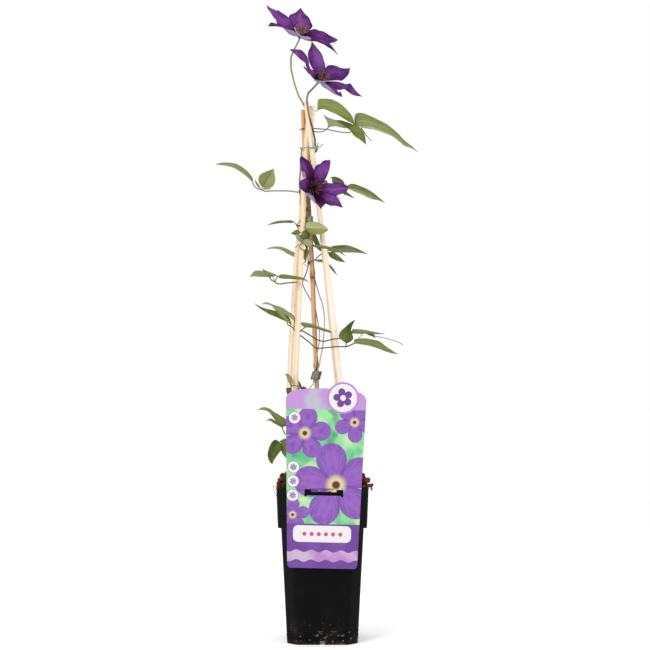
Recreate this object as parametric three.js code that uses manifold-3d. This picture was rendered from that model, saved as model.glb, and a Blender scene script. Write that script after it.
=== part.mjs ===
// A clematis in bloom, tied to a tripod of peeled sticks in its square nursery pot.
// Millimetres, +Z up, front towards -Y, origin under the middle of the pot's base.
import * as THREE from "three";
import { mergeVertices } from "three/addons/utils/BufferGeometryUtils.js";
import Module from "manifold-3d";

const wasm = await Module();
wasm.setup();

// ---- driving dimensions -------------------------------------------------------------------------
const RIM_HEIGHT = 186;
const RIM_HALF = 55;
const COLLAR_FOOT_HEIGHT = 138;
const COLLAR_FOOT_HALF = 52.8;
const BODY_TOP_HALF = 49;
const BASE_HALF = 42;
const CORNER_CUT = 12;
const WALL = 1.7;
const FLOOR = 2;
const FOOT_HEIGHT = 4;
const FOOT_WIDTH = 4;
const PAD_RADIUS = 13;
const DRAIN_RADIUS = 4.5;
const DRAIN_SPACING = 25;
const NOTCH_WIDTH = 5.8;
const NOTCH_HEIGHT = 6;
const GAP = 0.3;
const BLADE_THICKNESS = 0.7;
const WIRE_RADIUS = 0.65;
const WIRE_SIDES = 5;
const WIRE_STEP = 4.2;

// The plant and its sticks are drawn in front elevation, as an eye level with the middle of the
// plant sees them: [across, up] is where a point shows on the plane y = 0, and a point set back by
// y lies further out along the same line of sight.
const EYE_DISTANCE = 2200;
const EYE_ACROSS = 3;
const EYE_HEIGHT = 378;

function sight(across, up, back) {
  const spread = 1 + back / EYE_DISTANCE;
  return new THREE.Vector3(
    EYE_ACROSS + (across - EYE_ACROSS) * spread, back, EYE_HEIGHT + (up - EYE_HEIGHT) * spread);
}

const routeThrough = (points) => new THREE.CatmullRomCurve3(
  points.map(([across, up, back]) => sight(across, up, back)), false, "centripetal");

// ---- solids -------------------------------------------------------------------------------------
function solidOf(geometry) {
  geometry.deleteAttribute("normal");
  geometry.deleteAttribute("uv");
  const merged = mergeVertices(geometry, 1e-4);
  const index = merged.index.array;
  const faces = [];
  for (let i = 0; i < index.length; i += 3) {
    const [a, b, c] = [index[i], index[i + 1], index[i + 2]];
    if (a !== b && b !== c && c !== a) faces.push(a, b, c);
  }
  return new wasm.Manifold(new wasm.Mesh({
    numProp: 3,
    vertProperties: new Float32Array(merged.attributes.position.array),
    triVerts: new Uint32Array(faces),
  }));
}

function geometryOf(solid) {
  const mesh = solid.getMesh();
  const geometry = new THREE.BufferGeometry();
  geometry.setAttribute("position", new THREE.BufferAttribute(mesh.vertProperties.slice(), 3));
  geometry.setIndex(new THREE.BufferAttribute(mesh.triVerts.slice(), 1));
  geometry.computeVertexNormals();
  return geometry;
}

const join = (solids) => solids.reduce((whole, next) => whole.add(next));
const SCRAP_VOLUME = 0.05;
const withoutScraps = (solid) => join(solid.decompose().filter((body) => body.volume() > SCRAP_VOLUME));
const cut = (solid, tools) => tools.reduce((rest, tool) => rest.subtract(tool), solid);

function meshFrom(points, faces) {
  const geometry = new THREE.BufferGeometry();
  geometry.setAttribute("position", new THREE.Float32BufferAttribute(points.flatMap((p) => p.toArray()), 3));
  geometry.setIndex(faces);
  return geometry;
}

function tube(curve, radius, sides, stepLength) {
  const section = new THREE.Shape();
  for (let i = 0; i < sides; i += 1) {
    const turn = (2 * Math.PI * i) / sides;
    const [x, y] = [radius * Math.cos(turn), radius * Math.sin(turn)];
    if (i === 0) section.moveTo(x, y);
    else section.lineTo(x, y);
  }
  section.closePath();
  const steps = Math.max(2, Math.round(curve.getLength() / stepLength));
  return solidOf(new THREE.ExtrudeGeometry(section, { steps, bevelEnabled: false, extrudePath: curve }));
}

// A stack of level rings with the same number of corners, closed by a fan at each end.
function loft(rings) {
  const count = rings[0].length;
  const points = rings.flat();
  const faces = [];
  for (let r = 0; r + 1 < rings.length; r += 1) {
    for (let i = 0; i < count; i += 1) {
      const next = (i + 1) % count;
      const [a, b] = [r * count + i, r * count + next];
      faces.push(a, b, b + count, a, b + count, a + count);
    }
  }
  const middle = (ring) => ring.reduce((sum, p) => sum.add(p), new THREE.Vector3()).divideScalar(count);
  const bottom = points.push(middle(rings[0])) - 1;
  const top = points.push(middle(rings[rings.length - 1])) - 1;
  const last = (rings.length - 1) * count;
  for (let i = 0; i < count; i += 1) {
    const next = (i + 1) % count;
    faces.push(bottom, next, i, top, last + i, last + next);
  }
  return solidOf(meshFrom(points, faces));
}

// A square with cut corners; each of its eight sides is split into `pieces`.
function cutSquare(half, corner, height, pieces = 1) {
  const inner = half - corner;
  const corners = [
    [half, -inner], [half, inner], [inner, half], [-inner, half],
    [-half, inner], [-half, -inner], [-inner, -half], [inner, -half]];
  return corners.flatMap(([x, y], i) => {
    const [nextX, nextY] = corners[(i + 1) % corners.length];
    return Array.from({ length: pieces }, (_, k) => new THREE.Vector3(
      x + ((nextX - x) * k) / pieces, y + ((nextY - y) * k) / pieces, height));
  });
}

function block(width, depth, height, x, y, z) {
  return solidOf(new THREE.BoxGeometry(width, depth, height).translate(x, y, z));
}

// ---- pot ----------------------------------------------------------------------------------------
function makePot() {
  const outside = loft([
    cutSquare(BASE_HALF, CORNER_CUT, 0),
    cutSquare(BODY_TOP_HALF, CORNER_CUT, COLLAR_FOOT_HEIGHT),
    cutSquare(COLLAR_FOOT_HALF, CORNER_CUT, COLLAR_FOOT_HEIGHT),
    cutSquare(RIM_HALF, CORNER_CUT, RIM_HEIGHT),
  ]);
  const floorTop = FOOT_HEIGHT + FLOOR;
  const inside = loft([
    cutSquare(BASE_HALF - WALL, CORNER_CUT - WALL / 2, floorTop),
    cutSquare(BODY_TOP_HALF - WALL, CORNER_CUT - WALL / 2, COLLAR_FOOT_HEIGHT + WALL),
    cutSquare(COLLAR_FOOT_HALF - WALL, CORNER_CUT - WALL / 2, COLLAR_FOOT_HEIGHT + WALL),
    cutSquare(RIM_HALF - WALL, CORNER_CUT - WALL / 2, RIM_HEIGHT + 1),
  ]);
  const recess = loft([
    cutSquare(BASE_HALF - FOOT_WIDTH, CORNER_CUT, -1),
    cutSquare(BASE_HALF - FOOT_WIDTH, CORNER_CUT, FOOT_HEIGHT),
  ]);
  const pad = new THREE.CylinderGeometry(PAD_RADIUS, PAD_RADIUS, FOOT_HEIGHT + 1, 16);
  pad.rotateX(Math.PI / 2).translate(0, 0, (FOOT_HEIGHT + 1) / 2);
  const notches = [
    block(NOTCH_WIDTH, 3 * BASE_HALF, 2 * NOTCH_HEIGHT, 0, 0, 0),
    block(3 * BASE_HALF, NOTCH_WIDTH, 2 * NOTCH_HEIGHT, 0, 0, 0),
  ];
  const keptMiddle = loft([
    cutSquare(BASE_HALF - FOOT_WIDTH, CORNER_CUT, -1 - NOTCH_HEIGHT),
    cutSquare(BASE_HALF - FOOT_WIDTH, CORNER_CUT, floorTop + 1),
  ]);
  const drains = [[1, 1], [1, -1], [-1, 1], [-1, -1]].map(([sx, sy]) => {
    const hole = new THREE.CylinderGeometry(DRAIN_RADIUS, DRAIN_RADIUS, 4 * floorTop, 8);
    return solidOf(hole.rotateX(Math.PI / 2).translate(sx * DRAIN_SPACING, sy * DRAIN_SPACING, 0));
  });
  const shell = cut(outside, [inside, recess]).add(solidOf(pad));
  return cut(shell, [...notches.map((notch) => notch.subtract(keptMiddle)), ...drains]);
}

// ---- sticks and cane ----------------------------------------------------------------------------
// Each route runs from the top of the piece down to its foot in the soil.
const RODS = {
  stick_right: { radius: 3.6, route: [
    [-19.5, 647.5, -9], [-13, 592.5, -5.55], [-3.5, 513, -2], [3.5, 456.5, 0], [9.5, 403.5, 2.5],
      [19.5, 312, 6.5], [35, 181.5, 12], [38, 112, 13]] },
  stick_left_front: { radius: 3.3, route: [
    [-14.5, 641.5, 1.5], [-20, 592.5, -1.5], [-25.5, 468.5, -10], [-28.5, 403.5, -14], [-32.5, 312, -20],
      [-38, 181.5, -28], [-41, 112, -31]] },
  stick_left_back: { radius: 3.2, route: [
    [-11, 641.5, 8.8], [-16.5, 592.5, 5.6], [-25, 513, 11], [-32, 448, 16.5], [-34.5, 403.5, 20],
      [-37.5, 357.5, 23], [-39.5, 312, 26], [-40.5, 251.5, 29], [-40.5, 181.5, 32], [-40.5, 112, 32]] },
  bamboo_cane: { radius: 2.8, route: [
    [-23.5, 637, 13.5], [-21.5, 592.5, 13], [-19.5, 569.5, 14], [-18, 546.5, 14.5], [-17, 527.5, 12.5],
      [-16, 509.5, 9.4], [-15, 492.5, 7], [-14, 474.5, 4.8], [-13, 454, 3.4], [-12, 436, 2],
      [-11, 403.5, 0], [-7, 306, -4], [-4, 181.5, -7], [-3, 104.5, -8]] },
};

function makeRod({ radius, route }, extra = 0, sides = ROD_SIDES) {
  const points = route.map((point) => [...point]);
  const foot = points[points.length - 1];
  foot[1] -= extra;
  return tube(routeThrough(points), radius + extra, sides, ROD_STEP);
}

const CANE_KNOTS = [0.165, 0.383, 0.59, 0.8];
const KNOT_HEIGHT = 3;
const ROD_SIDES = 8;
const ROD_STEP = 45;

function makeCane() {
  const cane = RODS.bamboo_cane;
  const curve = routeThrough(cane.route);
  const knots = CANE_KNOTS.map((along) => {
    const knot = new THREE.CylinderGeometry(
      cane.radius + 0.25, cane.radius + 0.5, KNOT_HEIGHT, ROD_SIDES);
    knot.rotateX(Math.PI / 2);
    const place = curve.getPointAt(along);
    return solidOf(knot.translate(place.x, place.y, place.z));
  });
  return join([makeRod(cane), ...knots]);
}

// ---- soil ---------------------------------------------------------------------------------------
const SOIL_RINGS = [
  // half width, height, roughness
  [0.995, 184, 0], [0.975, 191, 1.6], [0.9, 196, 2.2], [0.66, 197, 2.4], [0.36, 197.5, 2.4],
];

function crumb(x, y) {
  return 0.5 * Math.sin(0.31 * x + 1.3) * Math.cos(0.27 * y) + 0.5 * Math.sin(0.62 * y + 0.23 * x);
}

function makeSoil(standing, tabSpace) {
  const corner = CORNER_CUT - WALL / 2;
  const bodyHalf = (half) => half - WALL - GAP;
  const ledge = COLLAR_FOOT_HEIGHT + WALL + GAP;
  const pieces = 2;
  const rings = [
    cutSquare(bodyHalf(BASE_HALF), corner, FOOT_HEIGHT + FLOOR + GAP, pieces),
    cutSquare(bodyHalf(BODY_TOP_HALF), corner, ledge, pieces),
    cutSquare(bodyHalf(COLLAR_FOOT_HALF), corner, ledge, pieces),
  ];
  for (const [share, height, roughness] of SOIL_RINGS) {
    const half = bodyHalf(RIM_HALF) * share;
    rings.push(cutSquare(half, corner * share, height, pieces).map((p) => {
      p.z += roughness * crumb(p.x, p.y);
      return p;
    }));
  }
  return cut(loft(rings), [...standing, tabSpace]);
}

// ---- leaves, petals and stalks ------------------------------------------------------------------
// A blade is stretched between two edges that meet at its base and its tip. `depth` is how far back
// it lies at base, middle and tip; `lean` sets back edge one, the rib and edge two at its widest.
const SLIM_STALK = { radius: 0.85, sides: 4, step: 11 };
const STOUT_STALK = { sides: 5, step: 15 };
const SLIM_BLADE = { spans: 5, columns: 2 };
const BROAD_BLADE = { spans: 6, columns: 4 };
const swell = (t) => Math.sin(Math.PI * t) ** 0.8;

function edgeCurve(base, between, tip) {
  const points = [base, ...between, tip].map(([across, up]) => new THREE.Vector3(across, 0, up));
  return new THREE.CatmullRomCurve3(points, false, "centripetal");
}

function bladePoint(blade, edges, t, c) {
  const [one, two] = edges.map((edge) => edge.getPointAt(t));
  const rib = one.clone().lerp(two, 0.5);
  const place = c < 0 ? rib.clone().lerp(one, -c) : rib.clone().lerp(two, c);
  const [base, middle, tip] = blade.depth;
  const along = base * (1 - t) * (1 - 2 * t) + middle * 4 * t * (1 - t) + tip * t * (2 * t - 1);
  const [leanOne, leanRib, leanTwo] = blade.lean;
  const lean = c < 0 ? leanRib + (leanOne - leanRib) * -c : leanRib + (leanTwo - leanRib) * c;
  const ripple = blade.wave * c * c * Math.sin(2 * Math.PI * 2.5 * t + (c < 0 ? 0.4 : 2.3));
  return sight(place.x, place.z, along + swell(t) * (lean + ripple));
}

function makeBlade(blade, { spans, columns }) {
  const edges = [edgeCurve(blade.base, blade.one, blade.tip), edgeCurve(blade.base, blade.two, blade.tip)];
  const across = Array.from({ length: columns + 1 }, (_, j) => (2 * j) / columns - 1);
  const sheet = [bladePoint(blade, edges, 0, 0)];
  for (let i = 1; i < spans; i += 1) {
    for (const c of across) sheet.push(bladePoint(blade, edges, i / spans, c));
  }
  sheet.push(bladePoint(blade, edges, 1, 0));
  const row = columns + 1;
  const at = (i, j) => (i === 0 ? 0 : i === spans ? sheet.length - 1 : 1 + (i - 1) * row + j);
  const faces = [];
  for (let i = 0; i < spans; i += 1) {
    for (let j = 0; j < columns; j += 1) {
      const [a, b, c, d] = [at(i, j), at(i, j + 1), at(i + 1, j + 1), at(i + 1, j)];
      if (a !== b) faces.push([a, b, c]);
      if (c !== d) faces.push([a, c, d]);
    }
  }
  const front = meshFrom(sheet, faces.flat());
  front.computeVertexNormals();
  const normals = front.attributes.normal;
  const shifted = (side) => sheet.map((p, i) => new THREE.Vector3()
    .fromBufferAttribute(normals, i).multiplyScalar((side * BLADE_THICKNESS) / 2).add(p));
  const points = [...shifted(1), ...shifted(-1)];
  const back = sheet.length;
  const solidFaces = faces.flatMap(([a, b, c]) => [a, b, c, a + back, c + back, b + back]);
  for (let i = 0; i < spans; i += 1) {
    const [a, b] = [at(i, 0), at(i + 1, 0)];
    solidFaces.push(b, b + back, a + back, b, a + back, a);
    const [p, q] = [at(i, columns), at(i + 1, columns)];
    solidFaces.push(p, p + back, q + back, p, q + back, q);
  }
  return solidOf(meshFrom(points, solidFaces));
}

// Stalks by leafy stem, each with its radius and its route; the first of each is the climbing stem.
const ROUTES = {
  tall: [
    { name: "main", radius: 1.15, route: [
      [-2, 167.5, -15], [-1, 194, -14], [-2.5, 239.5, -12], [-4, 281.5, -10], [-6, 306, -9],
      [-6, 322.5, -8.6], [-4, 328.5, -8], [-2.5, 338.5, -7], [0, 350.5, -5.5], [1.5, 366, -4],
      [2.5, 384, -4], [1.5, 395, -5], [-0.5, 404.5, -5], [-3, 411.5, -3.4], [-5.5, 419.5, 0.2],
      [-7.5, 426, 4.6], [-9.5, 433.5, 8], [-11, 440.5, 9.6], [-12.5, 450, 10.2], [-14.5, 460, 10],
      [-18, 468.5, 9], [-21.5, 476.5, 6.6], [-23, 484.5, 3.2], [-22.5, 492.5, 0.2], [-21.5, 499.5, -1.8],
      [-21.5, 507, -1], [-24, 514, 1], [-26.5, 521.5, 0], [-26.5, 532, -1.5], [-27, 538, -2.5],
      [-27.5, 546.5, -2.5], [-27.5, 555, -2.2], [-26.5, 564.5, -2], [-26.5, 574.5, -4],
      [-25.5, 582, -4.6], [-25.5, 586.5, -2.2], [-24, 590.5, 2.3], [-23, 594, 5], [-22, 599, 6.2],
      [-20.5, 605.5, 6.3], [-20, 613, 6.2], [-19, 625, 5.5], [-20, 634.5, 4], [-21, 640, 3], [-23, 644, 2]] },
    { name: "bloom_stalk", radius: 0.9, route: [
      [-23, 644, 2], [-25.5, 648.5, 1.6], [-28.5, 653.5, 2], [-30.5, 659, 3], [-33, 666, 3],
      [-35, 673.5, 3.5], [-36.5, 680, 4], [-38, 687.5, 4], [-38, 694.5, 3.5], [-38, 699.5, 3],
      [-36, 705.5, 2], [-33.5, 711, 1.7], [-30, 717.5, 1.1], [-27.5, 723, 1]] },
    { name: "petiole_right_upper", radius: 0.8, route: [
      [-20, 613, 6.2], [-19, 613.5, 9.8], [-17.5, 614, 13], [-13, 614.5, 13.8], [-9, 614.5, 9.6],
      [-9, 614.5, 2], [-9, 614.5, -5], [-7, 614.5, -9.4], [-3, 614, -10.8], [5.5, 613.5, -11],
      [12.5, 612, -12], [21, 610.5, -13], [28.5, 609.5, -14], [33, 610, -15], [35.5, 612, -15],
      [38.5, 616, -15]] },
    { name: "petiole_right_lower", radius: 0.7, route: [
      [-13, 614.5, 13.8], [-11.5, 612, 13], [-9, 611, 9], [-8, 610.5, 0], [-7, 610.5, -6],
      [-4, 610.5, -9.6], [1, 611, -10.5], [4, 613, -10], [6, 615, -10.2]] },
    { name: "petiole_left_stub", radius: 0.6, route: [
      [-20, 613, 6.2], [-22, 615, 8.1], [-23.5, 614.5, 8.6], [-25.5, 613.5, 9.6], [-27.5, 614, 12.4]] },
    { name: "petiole_left", radius: 0.75, route: [
      [-27, 538, -2.5], [-30.5, 538, -3], [-36.5, 539, -2], [-45, 539.5, 0], [-52.5, 539.5, 2],
      [-61, 539.5, 4], [-68, 539, 5], [-72, 540, 5], [-74.5, 541, 5], [-79.5, 543, 6], [-82.5, 545.5, 7],
      [-84, 549.5, 8]] },
  ],
  middle: [
    { name: "main", radius: 1.1, route: [
      [-19.5, 167.5, -18], [-20, 194, -17], [-20.5, 239.5, -15], [-20, 281.5, -13], [-18, 298.5, -11],
      [-11.5, 307, -9.4], [-10.5, 313, -9], [-9.5, 322, -8.6], [-8.5, 331, -8.3], [-7.5, 338.5, -7.4],
      [-6, 345.5, -6.3], [-4.5, 354, -4.7], [-3.5, 365, -2], [-4.5, 375.5, 1], [-6.5, 386.5, 3.5],
      [-8.5, 396, 4.6], [-14, 407, 5], [-17.5, 414, 4.5], [-21, 420, 4], [-24, 428.5, 3.8],
      [-23, 433, 3.2], [-20.5, 438.5, 2.2], [-18, 446, 0.9], [-17, 452.5, 0.2], [-17.5, 460, 0],
      [-19, 468.5, 0.4], [-19.5, 475.5, 0.9], [-20, 483, 1], [-19.5, 495, 1.5], [-19, 507, 2.4],
      [-18.5, 519, 3.2], [-17.5, 532, 2.6], [-16, 544, 2.4], [-14.5, 557.5, 1.8], [-14, 567, 1.6],
      [-13.5, 574.5, 1.6], [-13, 579.5, 2.4], [-12, 583.5, 3.2], [-10, 586, 3.8], [-8, 587, 2.1],
      [-7, 588.5, -1], [-7.5, 590, -4.4]] },
    { name: "bloom_right_stalk", radius: 0.9, route: [
      [-7.5, 590, -4.4], [-8, 592.5, -8.2], [-9, 595.5, -10.4], [-9, 600.5, -11.6],
      [-10.5, 607.5, -13.2], [-12, 614, -14.4], [-14, 621.5, -14.6], [-16.5, 631, -14.8],
      [-18, 640.5, -15], [-19, 647.5, -14.4], [-18.5, 652.5, -12.4], [-16.5, 658, -8.6],
      [-12, 662.5, -7], [-5.5, 669.5, -6.6]] },
    { name: "bloom_front_stalk", radius: 0.9, route: [
      [-16, 543, 2.4], [-14.5, 543.5, -4], [-13, 543, -10], [-12.5, 542, -14.2]] },
    { name: "petiole_right_cluster", radius: 0.7, route: [
      [-19, 470, 0.5], [-16.5, 473.5, -3.4], [-11.5, 474.5, -3.8], [-7, 471.5, -3], [-5, 469.5, 1],
      [-2.5, 468, 5], [1, 467, 6.6], [5, 467, 7], [8, 467.5, 7.2]] },
    { name: "petiole_right_lower_cluster", radius: 0.6, route: [
      [-17, 453.5, 0.2], [-14, 454, -2.9], [-11, 456, -3], [-9, 456.5, -2.2], [-6.5, 459, -0.4],
      [-3.5, 462, 2.6], [-0.5, 464, 5.6], [3, 465.5, 6.8], [6.5, 465, 6.8]] },
    { name: "petiole_front_cluster", radius: 0.7, route: [
      [-20, 490, 1], [-16.5, 491, -3.5], [-17, 492.5, -9]] },
    { name: "petiole_low_cluster", radius: 0.7, route: [
      [-20, 480.5, 0.8], [-14.5, 480, -4.2], [-16.5, 479, -10.8], [-20, 479, -13.5],
      [-22.5, 477.5, -14.6], [-24.5, 477, -15]] },
    { name: "petiole_long_leaf", radius: 0.6, route: [
      [-19.5, 476.5, 0.8], [-15, 476.5, -4.2], [-14.5, 475.5, -7], [-13, 473.5, -8.4]] },
    { name: "petiole_side_leaf", radius: 0.6, route: [
      [-19.5, 485, 1], [-20, 484.5, 7], [-18.5, 485, 11], [-16, 485.5, 13], [-12, 486, 13]] },
    { name: "petiole_right_behind", radius: 0.7, route: [
      [-14.5, 557.5, 1.8], [-8, 552.5, 3.6], [0.5, 547.5, 5], [9, 544, 6], [17.5, 543, 8],
      [24.5, 543.5, 10], [29.5, 543.5, 11]] },
    { name: "tendril_cluster", radius: 0.6, route: [
      [-20, 475.5, 1], [-16, 476, -2.6], [-15, 476, -7], [-16.5, 476.5, -13], [-21.5, 476.5, -15.6],
      [-25.5, 475.5, -15.6], [-27.5, 473, -15.4], [-26.5, 470, -14.6], [-22.5, 467.5, -13]] },
  ],
  low: [
    { name: "main", radius: 1.15, route: [
      [-28.5, 167.5, -22], [-28.5, 194, -20.5], [-28.5, 239.5, -17], [-29, 281.5, -14],
      [-29.5, 302, -13], [-30, 324, -11.5], [-30, 348, -10], [-30, 366, -8.8], [-29.5, 378, -8.4],
      [-29, 393.5, -7.6], [-28, 408, -6.6], [-27.5, 420, -5.8], [-27, 430, -5], [-26.5, 442, -4.2],
      [-26.5, 460, -3], [-27, 476.5, -2], [-26, 485, -1.2], [-26, 492, -0.8], [-26.5, 496, -1],
      [-28.5, 497.5, -1.4], [-31, 497.5, -2]] },
    { name: "petiole_l2", radius: 0.6, route: [
      [-31, 497.5, -2], [-32.5, 500, -3.4], [-34, 502, -4.8]] },
    { name: "petiole_l3", radius: 0.7, route: [
      [-26.5, 458.5, -3], [-25.5, 459, 3], [-25.5, 459.5, 10], [-25.5, 460, 17.6], [-27.5, 460.5, 22.4],
      [-31, 461, 22.8]] },
    { name: "petiole_l4", radius: 0.75, route: [
      [-27, 428.5, -5], [-31.5, 429.5, -9], [-38, 429, -12], [-44, 428.5, -14], [-50, 427.5, -16],
      [-55, 428, -17], [-58, 430.5, -18], [-61, 431.5, -18.5], [-62.5, 433.5, -19], [-64, 436, -19]] },
    { name: "petiole_l5", radius: 0.6, route: [
      [-57.5, 430, -18], [-56, 433, -18.4], [-55, 435, -18.8], [-54.5, 437, -19]] },
    { name: "petiole_l6", radius: 0.7, route: [
      [-29.5, 371, -8.7], [-34, 372, -10.5], [-35, 374, -14], [-39, 377, -17], [-42, 378.5, -19],
      [-42.5, 381.5, -20], [-44.5, 384, -20.6]] },
    { name: "petiole_l6b", radius: 0.6, route: [
      [-39, 377, -17], [-38.5, 378.5, -17.4], [-38, 380.5, -17.6]] },
    { name: "petiole_l6c", radius: 0.6, route: [
      [-34.5, 373.5, -13], [-34, 377, -13], [-34, 381, -13]] },
    { name: "petiole_l7", radius: 0.7, route: [
      [-30, 367, -8.8], [-26.5, 371, -9], [-24, 373, -12], [-21, 375, -14], [-17.5, 376.5, -15]] },
    { name: "petiole_r3_upper", radius: 0.75, route: [
      [-30, 366.5, -8.8], [-25.5, 371, -8.8], [-20, 368.5, -9.5], [-12.5, 364, -10], [-6.5, 360.5, -9.4],
      [-0.5, 358.5, -9.5], [5.5, 359, -10], [12.5, 361, -11], [18.5, 361.5, -12.4], [23, 363, -13]] },
    { name: "petiole_r3_lower", radius: 0.75, route: [
      [-30, 362.5, -9.2], [-26.5, 365, -9], [-21, 361, -11.5], [-15, 356.5, -13], [-10, 351.5, -14],
      [-6.5, 350, -14.2], [-3, 350, -14], [3, 350.5, -13.8], [12.5, 351.5, -14], [21, 352, -15],
      [28.5, 352, -16], [33, 353.5, -17], [39.5, 356.5, -18]] },
    { name: "petiole_r3_link", radius: 0.6, route: [
      [28, 352, -16], [28.5, 355.5, -14.6], [28.5, 358.5, -14]] },
    { name: "petiole_low_left", radius: 0.7, route: [
      [-29.5, 301, -13], [-26.5, 302, -19], [-27.5, 303.5, -26.2], [-32, 305, -28], [-36, 305, -27.4],
      [-38, 303.5, -24]] },
    { name: "petiole_low_mid", radius: 0.6, route: [
      [-29.5, 298.5, -13.1], [-26.5, 299.5, -12.4], [-25, 301, -12]] },
    { name: "petiole_lo1", radius: 0.7, route: [
      [-29, 283, -14], [-31, 269.5, -9], [-35.5, 256.5, -8], [-40.5, 247.5, -14], [-44, 246, -22],
      [-46, 248, -27], [-48, 253, -30], [-49.5, 256.5, -31]] },
    { name: "petiole_lo2", radius: 0.7, route: [
      [-28.5, 225, -18.2], [-30.5, 232.5, -10], [-35.5, 236, -8], [-41.5, 238.5, -14], [-46.5, 239, -24],
      [-50.5, 238.5, -32]] },
  ],
};

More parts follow.
